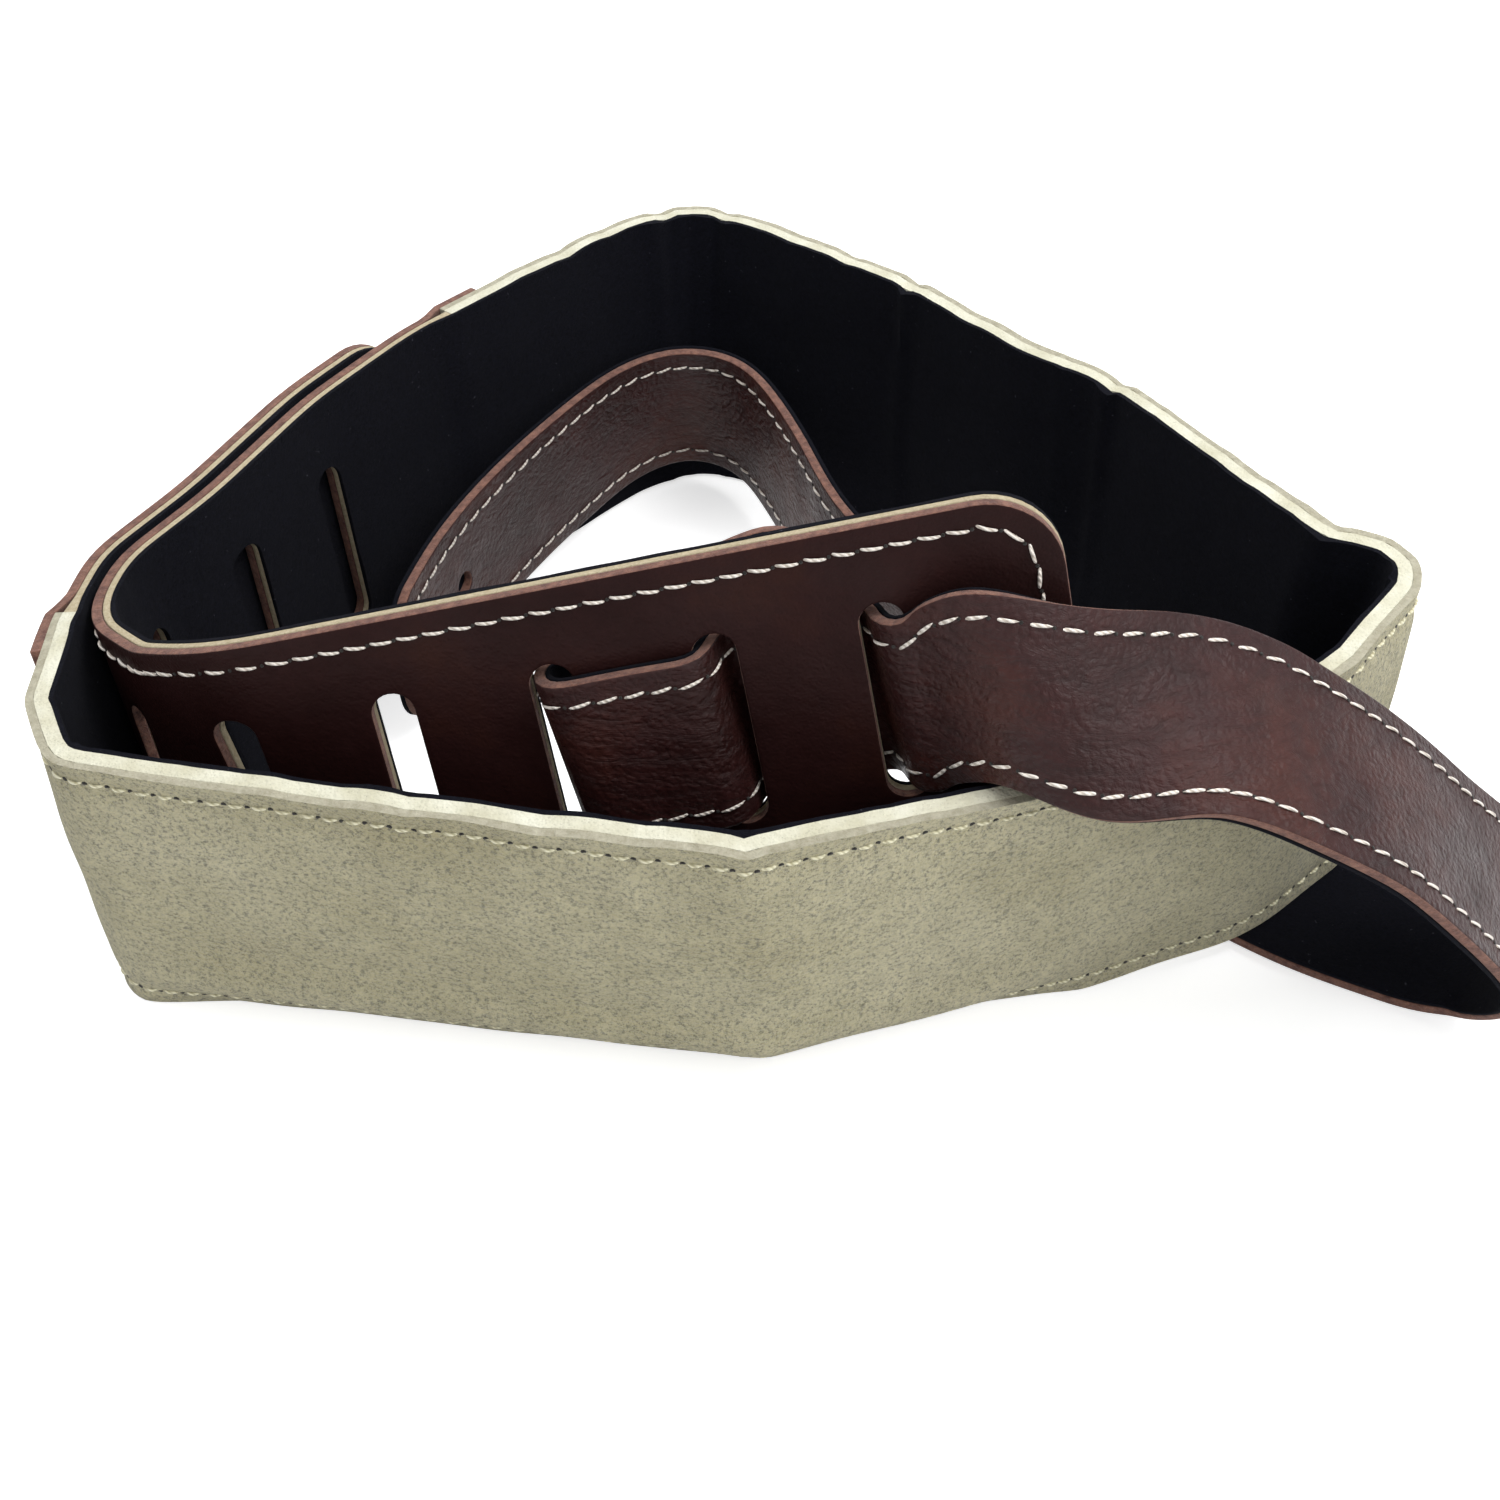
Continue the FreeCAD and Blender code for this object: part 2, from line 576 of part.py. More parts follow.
def round_corner(ribbon, corner, at_start, lower):
    """Stitch line round one corner, in the order that runs from the low edge to the high one."""
    radius = corner - INSET
    points = []
    for k in range(1, ROUND_STEPS):
        angle = math.pi / 2.0 * k / ROUND_STEPS
        away = END_INSET + radius * (1.0 - (math.sin(angle) if lower else math.cos(angle)))
        up = INSET + radius * (1.0 - (math.cos(angle) if lower else math.sin(angle)))
        points.append((away if at_start else ribbon.length - away, up if lower else ribbon.width - up))
    return points


def end_row(ribbon, corner, at_start):
    """Stitch line across a rounded end, from the low row to the high one."""
    away = END_INSET if at_start else ribbon.length - END_INSET
    lower = round_corner(ribbon, corner, at_start, True)
    upper = round_corner(ribbon, corner, at_start, False)
    return lower + [(away, corner + 1.0), (away, ribbon.width - corner - 1.0)] + upper


def rows(ribbon, first, last):
    """The low and the high stitch row between two distances."""
    stops = ribbon.stops(first, last)
    return [(d, INSET) for d in stops], [(d, ribbon.width - INSET) for d in stops]


def on_panel(distance):
    return between(PANEL_LAYERS, distance, 1)


def on_tab(distance):
    return between(TAB_LAYERS, distance, 1)


panel_round = size("panel_corner")
strap_round = size("adjuster_corner")
low, high = rows(band, END_INSET + panel_round, size("panel_length") - END_INSET / 2.0)
panel_path = list(reversed(low)) + end_row(band, panel_round, True) + high
low, high = rows(band, TAB_START + END_INSET / 2.0, band.length - END_INSET - panel_round)
tab_path = low + end_row(band, panel_round, False) + list(reversed(high))
low, high = rows(strap, END_INSET + strap_round, strap.length - END_INSET - strap_round)
strap_path = list(reversed(low)) + end_row(strap, strap_round, True) + high
strap_path += list(reversed(end_row(strap, strap_round, False))) + strap_path[:1]
suede_rows = rows(band, size("panel_length") + 1.0, TAB_START - 1.0)

threads = {
    "band_stitching": Part.makeCompound([band.thread(path, lambda distance: 0.0) for path in suede_rows]),
    "panel_stitching": band.thread(panel_path, on_panel),
    "end_tab_stitching": band.thread(tab_path, on_tab),
    "adjuster_stitching": strap.thread(strap_path, lambda distance: FACE),
}
for name, shape in threads.items():
    nodes[name] = feature(name, shape)

# ---------------------------------------------------------------- checks and files
doc.recompute()
for item in doc.Objects:
    if "Invalid" in item.State or "Error" in item.State:
        raise RuntimeError("%s did not recompute: %s" % (item.Label, item.State))
os.makedirs("parts", exist_ok=True)
whole = FreeCAD.BoundBox()
for name, item in nodes.items():
    shape = item.Shape
    if shape.isNull() or not shape.isValid():
        raise RuntimeError("%s has no valid shape" % name)
    item.Label = name
    whole.add(shape.BoundBox)
    shape.exportStep("parts/%s.step" % name)
    print("%-20s %d solids %9.0f mm3" % (name, len(shape.Solids), shape.Volume))
print("box", [round(v, 2) for v in (whole.XMin, whole.XMax, whole.YMin, whole.YMax, whole.ZMin, whole.ZMax)])
print("band %.0f mm long, narrow strap %.0f mm long" % (band.length, strap.length))
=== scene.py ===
import json
import math
import random

import bpy
import numpy as np
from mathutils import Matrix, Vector, noise
from mathutils.geometry import delaunay_2d_cdt


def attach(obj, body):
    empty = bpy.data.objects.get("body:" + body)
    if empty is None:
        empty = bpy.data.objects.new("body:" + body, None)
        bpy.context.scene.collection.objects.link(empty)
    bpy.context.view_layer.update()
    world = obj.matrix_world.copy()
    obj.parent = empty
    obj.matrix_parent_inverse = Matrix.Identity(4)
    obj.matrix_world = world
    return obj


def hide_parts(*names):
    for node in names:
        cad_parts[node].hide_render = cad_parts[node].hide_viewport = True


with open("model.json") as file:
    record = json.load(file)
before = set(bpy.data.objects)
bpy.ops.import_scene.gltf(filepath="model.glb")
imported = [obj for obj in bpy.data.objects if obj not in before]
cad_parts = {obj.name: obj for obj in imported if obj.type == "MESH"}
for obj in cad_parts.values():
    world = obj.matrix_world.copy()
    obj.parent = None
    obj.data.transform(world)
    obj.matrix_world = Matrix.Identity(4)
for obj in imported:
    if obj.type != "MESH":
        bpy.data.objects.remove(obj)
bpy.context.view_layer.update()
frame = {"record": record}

# A wide padded suede strap with a narrow leather adjuster strap woven through its slotted end.
# Everything is laid out in millimetres on two ribbons, the band and the narrow strap, whose guides are
# the CAD's, and is turned into metres when a mesh is made.
MM = 0.001

# ---------------------------------------------------------------- sizes, the same as the CAD's
BAND = 75.0
SUEDE, FOAM, LINING = 1.6, 3.0, 1.0
LEATHER, PANEL_FELT = 2.3, 1.6
PANEL_CORE = LEATHER + PANEL_FELT
SUEDE_CORE = SUEDE + FOAM
PANEL_STACK = PANEL_CORE + LINING
PANEL_LENGTH, LAP_RISE, LAP_LENGTH, END_TAB_LENGTH = 345.0, 6.0, 12.0, 128.0
SLOT_COUNT, SLOT_WIDTH, SLOT_LENGTH, SLOT_FIRST, SLOT_PITCH = 9, 8.4, 43.4, 34.2, 31.4
PANEL_CORNER, STRAP_CORNER = 15.0, 12.0
STRAP_WIDTH, STRAP_LEATHER, STRAP_LINING = 38.0, 2.4, 1.0
STRAP = STRAP_LEATHER + STRAP_LINING
WEAVE_GAP, WEAVE_RADIUS, WEAVE_ANGLE = 0.8, 4.0, 70.0
HOLE_RADIUS, HOLE_FROM_END, TAB_HOLE_FROM_END = 3.0, 34.0, 22.0
WALL_GAP, UNDER_GAP, THREAD_HEIGHT = 0.8, 0.6, 0.35
STITCH_INSET, END_INSET = 4.5, 5.0
LIFT = STRAP + THREAD_HEIGHT + UNDER_GAP
MIDDLE = BAND / 2.0
ORIGIN = np.array([-0.84, -3.54, 0.0])

# ---------------------------------------------------------------- guide of the wide band
# x, y, height above the floor, lean in x and in y, corner radius.
PANEL_CORNERS = [
    (52.8, -90.1, 55.0, -0.208, 0.169, 0.0),
    (-101.4, -88.6, 16.1, -0.210, 0.150, 45.0),
    (-123.0, -83.0, 7.5, -0.140, 0.220, 18.0),
]
BACKED_CORNERS = [
    (-137.0, -63.0, 1.0, -0.150, 0.165, 20.0),
    (-136.0, -37.0, 0.0, -0.130, 0.080, 28.0),
    (-125.0, -14.0, 0.0, -0.093, 0.067, 60.0),
    (-110.0, 18.0, 0.0, -0.080, 0.093, 90.0),
    (-93.0, 44.0, 0.3, -0.053, 0.115, 90.0),
]
LOOP_CORNERS = [
    (-49.0, 90.0, 0.3, -0.053, 0.107, 60.0),
    (-28.0, 104.5, 0.0, 0.000, 0.093, 24.0),
    (-1.0, 88.5, 0.0, -0.020, 0.093, 40.0),
    (29.0, 68.0, 0.0, -0.040, 0.080, 12.0),
    (51.0, 42.0, 0.0, 0.013, 0.040, 60.0),
    (69.0, 27.0, 0.4, 0.027, 0.053, 12.0),
    (93.0, -9.0, 2.2, 0.013, 0.013, 60.0),
    (103.0, -25.5, LIFT, 0.027, -0.020, 14.0),
    (116.5, -31.0, LIFT, 0.027, -0.013, 10.0),
    (120.0, -50.0, LIFT, 0.000, 0.067, 10.0),
    (92.0, -74.0, LIFT, 0.080, 0.020, 45.0),
    (51.0, -87.0, 0.5, 0.000, -0.112, 80.0),
    (-12.0, -107.0, 0.0, -0.053, -0.107, 10.0),
    (-146.0, -88.0, 0.0, 0.013, -0.053, 10.0),
    (-152.0, -74.0, 0.0, -0.013, -0.013, 14.0),
]
FINE_ARC = math.radians(3.0)
RUN_STEP = 4.0


def unit(v):
    return v / np.linalg.norm(v, axis=-1, keepdims=True)


def plan_turn(corners, i):
    """Turn in plan at one corner, in radians."""
    xy = np.array([c[:2] for c in corners[i - 1:i + 2]])
    arrive, leave = unit(xy[1] - xy[0]), unit(xy[2] - xy[1])
    return math.acos(float(np.clip(np.dot(arrive, leave), -1.0, 1.0)))


def stand_off(corners, distance):
    """The same corners moved square off the wall, away from the loop."""
    moved = []
    for i, corner in enumerate(corners):
        before = np.array(corners[max(i - 1, 0)][:2])
        after = np.array(corners[min(i + 1, len(corners) - 1)][:2])
        run = unit(after - before)
        inner = 0 < i < len(corners) - 1
        mitre = 1.0 / math.cos(plan_turn(corners, i) / 2.0) if inner else 1.0
        off = np.array([-run[1], run[0]]) * distance * mitre
        moved.append((corner[0] + off[0], corner[1] + off[1]) + corner[2:])
    return moved


CORNERS = PANEL_CORNERS + BACKED_CORNERS + LOOP_CORNERS
CORNERS += stand_off(BACKED_CORNERS, PANEL_STACK + WALL_GAP)


def turned(v, axis, angle):
    """v turned about an axis through the origin."""
    k = unit(axis)
    return v * math.cos(angle) + np.cross(k, v) * math.sin(angle) + k * np.dot(k, v) * (1 - math.cos(angle))


def rail(height):
    """Close points along the band at one height up its width, and which of them are corners' middles."""
    line = []
    for x, y, lift, lean_x, lean_y, _ in CORNERS:
        up_wall = np.array([lean_x, lean_y, math.sqrt(1.0 - lean_x ** 2 - lean_y ** 2)])
        line.append(np.array([x, y, lift]) - ORIGIN + up_wall * height)
    points, middles = [line[0]], [0]
    for i in range(1, len(line)):
        if i < len(line) - 1:
            arrive, leave = unit(line[i] - line[i - 1]), unit(line[i + 1] - line[i])
            turn = math.acos(float(np.clip(np.dot(arrive, leave), -1.0, 1.0)))
            radius = CORNERS[i][5]
            centre = line[i] + unit(leave - arrive) * (radius / math.cos(turn / 2.0))
            first = line[i] - arrive * (radius * math.tan(turn / 2.0))
            last = line[i] + leave * (radius * math.tan(turn / 2.0))
        else:
            first = line[i]
        flat = np.hypot(*(np.array(CORNERS[i][:2]) - np.array(CORNERS[i - 1][:2])))
        pieces = max(2, round(flat / RUN_STEP))
        start = points[-1]
        for k in range(1, pieces + 1):
            points.append(start + (first - start) * k / pieces)
        if i < len(line) - 1:
            axis = np.cross(first - centre, last - centre)
            steps = 2 * max(2, math.ceil(plan_turn(CORNERS, i) / FINE_ARC / 2.0))
            middles.append(len(points) - 1 + steps // 2)
            for k in range(1, steps + 1):
                points.append(centre + turned(first - centre, axis, turn * k / steps))
    middles.append(len(points) - 1)
    return np.array(points), middles


def smoothed(values, sigma):
    """Values at even steps, smoothed by a bell of that many steps, with the ends held."""
    reach = int(math.ceil(3 * sigma))
    bell = np.exp(-0.5 * (np.arange(-reach, reach + 1) / sigma) ** 2)
    bell /= bell.sum()
    head = 2 * values[0] - values[1:reach + 1][::-1]
    tail = 2 * values[-1] - values[-reach - 1:-1][::-1]
    padded = np.concatenate([head, values, tail])
    return np.stack([np.convolve(padded[:, k], bell, "valid") for k in range(values.shape[1])], axis=1)


def measured(points):
    """Distance along a line of points, at each of them."""
    return np.concatenate([[0.0], np.cumsum(np.linalg.norm(np.diff(points, axis=0), axis=1))])


STEP = 1.0


class Ribbon:
    """A strip between two edge lines, with places on it given as (distance, width, depth)."""

    def __init__(self, low, high, width, sigma):
        middle = (low + high) / 2.0
        self.given_at = measured(middle)
        self.length = self.given_at[-1]
        self.at = np.linspace(0.0, self.length, int(round(self.length / STEP)) + 1)
        self.low = smoothed(self.even(low), sigma)
        self.high = smoothed(self.even(high), sigma)
        self.width = width
        run = np.gradient((self.low + self.high) / 2.0, axis=0)
        self.ahead = unit(run)
        self.inward = unit(smoothed(unit(np.cross(run, self.high - self.low)), 1.0))
        self.shift = lambda distance, width: (0.0, 0.0)

    def even(self, points):
        return np.stack([np.interp(self.at, self.given_at, points[:, k]) for k in range(3)], axis=1)

    def look_up(self, table, distance):
        return np.stack([np.interp(distance, self.at, table[:, k]) for k in range(3)], axis=-1)

    def place(self, distance, width, depth):
        """Points at distances along, widths up from the low edge and depths in from the outer face."""
        distance, width, depth = np.broadcast_arrays(distance, width, depth)
        rise, push = self.shift(distance, width)
        low, high = self.look_up(self.low, distance), self.look_up(self.high, distance)
        inward = unit(self.look_up(self.inward, distance))
        up = ((width + rise) / self.width)[..., None]
        return low + (high - low) * up + inward * (depth + push)[..., None]

    def axes(self, distance):
        """Unit vectors at distances: along the ribbon, up its width, and out of its outer face."""
        out = -unit(self.look_up(self.inward, distance))
        ahead = unit(self.look_up(self.ahead, distance))
        ahead = unit(ahead - out * np.sum(ahead * out, axis=-1, keepdims=True))
        return ahead, np.cross(ahead, out), out


low_rail, corner_rows = rail(0.0)
high_rail, _ = rail(BAND)
band = Ribbon(low_rail, high_rail, BAND, 2.2)
CORNER_AT = [band.given_at[row] for row in corner_rows]
APEX, SECOND, THIRD, TURN, KNEE, FRONT_CORNER, LEFT_CORNER = (
    CORNER_AT[i] for i in (9, 11, 13, 15, 17, 20, 21))

# ---------------------------------------------------------------- small unevenness of the wall
random.seed(7)
NICKS = [(APEX - 11, 0.9), (APEX + 8, 1.1), (SECOND, 1.5), (THIRD, 1.5), (TURN, 0.8), (KNEE, 0.7),
         (FRONT_CORNER, 0.7), (LEFT_CORNER, 0.5)]
NICKS += [(random.uniform(350.0, band.length - 130.0), random.uniform(0.15, 0.5)) for _ in range(34)]


def wave(values, cell, seed):
    """Smooth noise in one dimension, about -1 to 1."""
    flat = np.asarray(values, dtype=float)
    shape = flat.shape
    out = [noise.noise(Vector((v / cell, seed * 7.3, 0.5))) for v in flat.ravel()]
    return 2.0 * np.array(out).reshape(shape)


wave_at = np.arange(0.0, band.length + STEP, STEP)
RIM = 0.28 * wave(wave_at, 9.0, 1) + 0.12 * wave(wave_at, 3.1, 2)
for centre, deep in NICKS:
    RIM -= deep * np.exp(-0.5 * ((wave_at - centre) / 1.7) ** 2)
PRESSED_AT = FRONT_CORNER - 50.0
RIM -= 1.6 * np.exp(-0.5 * ((wave_at - PRESSED_AT) / 14.0) ** 2)
RIM *= np.clip((wave_at - PANEL_LENGTH) / 20.0, 0.0, 1.0)
RIM *= np.clip((band.length - 125.0 - wave_at) / 20.0, 0.0, 1.0)
DRIFT = 0.5 * wave(wave_at, 55.0, 3)
TAB_START = band.length - END_TAB_LENGTH
TUCK = 3.2


def front_wall(distance):
    """1 along the front wall of the loop, fading to 0 at its ends."""
    begun = np.clip((distance - FRONT_CORNER + 75.0) / 25.0, 0.0, 1.0)
    return begun * np.clip((LEFT_CORNER - 2.0 - distance) / 20.0, 0.0, 1.0)


def band_shift(distance, width):
    """The rim's waves and nicks, a slow drift of the whole wall, and the low edge tucked in at the front."""
    share = np.clip((width - 52.0) / 23.0, 0.0, 1.0)
    rise = np.interp(distance, wave_at, RIM) * share * share * (3.0 - 2.0 * share)
    quiet = np.clip((distance - PANEL_LENGTH) / 30.0, 0.0, 1.0)
    quiet = quiet * np.clip((TAB_START - 8.0 - distance) / 30.0, 0.0, 1.0)
    tucked = TUCK * front_wall(distance) * np.clip(1.0 - width / 10.0, 0.0, 1.0) ** 1.5
    return rise, np.interp(distance, wave_at, DRIFT) * quiet * np.clip(width / BAND, 0.0, 1.0) + tucked


band.shift = band_shift

# ---------------------------------------------------------------- route of the narrow strap
FRONT = -(WEAVE_GAP + STRAP / 2.0)
BEHIND = PANEL_STACK + WEAVE_GAP + STRAP / 2.0
# The strap's middle, and the way one of its edges lies, from its button hole.
FREE_ROUTE = [
    (-95.0, -13.5, 23.0, 0.04, 0.02, -1.00),
    (-86.5, 15.0, 25.0, 0.05, 0.04, -1.00),
    (-74.0, 40.0, 27.0, 0.05, 0.06, -1.00),
    (-57.0, 66.0, 28.5, 0.04, 0.08, -0.99),
    (-42.5, 82.0, 29.0, 0.02, 0.12, -0.99),
    (-31.0, 86.5, 29.0, 0.00, 0.14, -0.99),
    (-20.0, 82.5, 29.0, -0.02, 0.13, -0.99),
    (-10.0, 68.0, 28.5, -0.03, 0.10, -0.99),
    (-1.5, 46.0, 27.5, -0.02, 0.05, -1.00),
    (9.0, 21.0, 25.5, 0.00, 0.03, -1.00),
    (24.0, 4.5, 23.0, 0.16, 0.18, -0.97),
    (45.0, -12.5, 18.5, 0.42, 0.52, -0.74),
    (66.0, -29.5, 9.0, 0.58, 0.74, -0.35),
    (84.0, -44.5, 3.2, 0.62, 0.78, -0.05),
    (97.0, -54.5, 2.15, 0.58, 0.81, 0.00),
    (111.0, -64.0, 2.15, 0.50, 0.87, 0.00),
    (124.0, -70.5, 2.15, 0.47, 0.88, 0.00),
    (134.0, -75.2, 3.0, 0.46, 0.89, 0.00),
    (140.6, -79.0, 7.0, 0.45, 0.89, 0.00),
    (143.3, -83.0, 14.0, 0.43, 0.90, 0.00),
    (142.0, -87.3, 24.0, 0.39, 0.92, 0.01),
    (136.0, -90.0, 34.0, 0.36, 0.93, 0.02),
    (123.0, -92.5, 49.0, 0.27, 0.96, 0.07),
    (106.0, -93.5, 66.0, 0.19, 0.97, 0.15),
    (86.0, -94.0, 80.5, 0.11, 0.95, 0.29),
    (65.0, -93.2, 89.7, 0.03, 0.90, 0.43),
    (46.5, -97.0, 91.8, -0.06, 0.72, 0.69),
    (33.0, -94.9, 95.3, -0.19, 0.475, 0.86),
    (23.8, -89.6, 94.2, -0.255, 0.263, 0.93),
]
# The tail behind the panel: distance from the panel's free end, depth behind its face, height up it.
TAIL = [(88.0, 13.0, 37.2), (80.0, 21.0, 38.0), (70.0, 29.0, 39.4), (58.0, 33.0, 41.0), (44.0, 33.0, 42.0)]
BAR_ROUND_UP, LEAD, RACKED = 0.5, 3.0, 4
SLOTS = [SLOT_FIRST + SLOT_PITCH * i for i in range(SLOT_COUNT)]


def slot_crossing(distance, start, end):
    """Stations (distance, depth) through a slot on two equal bends."""
    slope = math.radians(WEAVE_ANGLE)
    rise = abs(end - start)
    side = 1.0 if end > start else -1.0
    straight = (rise - 2.0 * WEAVE_RADIUS * (1.0 - math.cos(slope))) / math.sin(slope)
    reach = WEAVE_RADIUS * math.sin(slope) + straight * math.cos(slope) / 2.0
    bend = [(reach + LEAD, 0.0)]
    for share in (0.0, 0.5, 1.0):
        angle = slope * share
        bend.append((reach - WEAVE_RADIUS * math.sin(angle), WEAVE_RADIUS * (1.0 - math.cos(angle))))
    first = [(distance - away, start + side * drop) for away, drop in bend]
    return first + [(distance + away, end - side * drop) for away, drop in reversed(bend)]


def bar_turn(edge):
    """Stations round the edge of a bar, from the panel's front to behind it."""
    middle, radius = (FRONT + BEHIND) / 2.0, (BEHIND - FRONT) / 2.0
    stations = [(edge - BAR_ROUND_UP - LEAD, FRONT)]
    for degrees in range(-90, 91, 30):
        angle = math.radians(degrees)
        stations.append((edge - BAR_ROUND_UP + radius * math.cos(angle), middle + radius * math.sin(angle)))
    return stations


woven = slot_crossing(SLOTS[0], FRONT, BEHIND)[1:]
woven += slot_crossing(SLOTS[1], BEHIND, FRONT)
woven += bar_turn(SLOTS[2] - SLOT_WIDTH / 2.0)
woven = [(distance, depth, MIDDLE) for distance, depth in woven]
route_points = [np.array(row[:3]) - ORIGIN for row in FREE_ROUTE]
route_edges = [np.array(row[3:]) for row in FREE_ROUTE]
for distance, depth, height in woven + TAIL:
    route_points.append(band.place(distance, height, depth))
    route_edges.append(band.axes(distance)[1])
route_points, route_edges = np.array(route_points), np.array(route_edges)


def cubic(at, values, wanted):
    """Natural cubic spline through values at given places, read at the wanted ones."""
    n = len(at)
    h = np.diff(at)
    system, right = np.zeros((n, n)), np.zeros((n, values.shape[1]))
    system[0, 0] = system[-1, -1] = 1.0
    for i in range(1, n - 1):
        system[i, i - 1:i + 2] = h[i - 1], 2.0 * (h[i - 1] + h[i]), h[i]
        right[i] = 6.0 * ((values[i + 1] - values[i]) / h[i] - (values[i] - values[i - 1]) / h[i - 1])
    second = np.linalg.solve(system, right)
    k = np.clip(np.searchsorted(at, wanted, "right") - 1, 0, n - 2)
    a = ((at[k + 1] - wanted) / h[k])[:, None]
    b = 1.0 - a
    bow = ((a ** 3 - a) * second[k] + (b ** 3 - b) * second[k + 1]) * (h[k] ** 2)[:, None] / 6.0
    return a * values[k] + b * values[k + 1] + bow


ROUTE_STEP, SOFTENING = 0.8, 6.0


def strap_edges():
    """The two edges of the narrow strap, square to its middle line except where it racks over the rim."""
    at = measured(route_points)
    fine = np.linspace(0.0, at[-1], int(at[-1] / ROUTE_STEP))
    middle = cubic(at, route_points, fine)
    ahead = unit(np.gradient(middle, axis=0))
    edge = np.stack([np.interp(fine, at, route_edges[:, k]) for k in range(3)], axis=1)
    square = edge - ahead * np.sum(edge * ahead, axis=1, keepdims=True)
    first, last = at[len(FREE_ROUTE) - RACKED], at[len(FREE_ROUTE)]
    racked = np.clip((fine - first) / 8.0, 0.0, 1.0) * np.clip((last + 2.0 - fine) / 3.0, 0.0, 1.0)
    edge = unit(smoothed(square + (edge - square) * racked[:, None], 2.0))
    edges = []
    for side in (-1.0, 1.0):
        line = middle + edge * side * STRAP_WIDTH / 2.0
        soft = smoothed(smoothed(line, SOFTENING), SOFTENING)
        share = np.clip((fine - first + 24.0) / 12.0, 0.0, 1.0)
        share *= np.clip((last - 1.0 - fine) / 5.0, 0.0, 1.0)
        edges.append(line + (soft - line) * share[:, None])
    return edges


strap_low, strap_high = strap_edges()
strap = Ribbon(strap_low, strap_high, STRAP_WIDTH, 0.9)
FACE = -STRAP / 2.0
BACK = FACE + STRAP_LEATHER

# ---------------------------------------------------------------- node materials


def colour(code):
    """sRGB hex to linear RGBA."""
    parts = [int(code[i:i + 2], 16) / 255.0 for i in (0, 2, 4)]
    return tuple(p / 12.92 if p <= 0.04045 else ((p + 0.055) / 1.055) ** 2.4 for p in parts) + (1.0,)


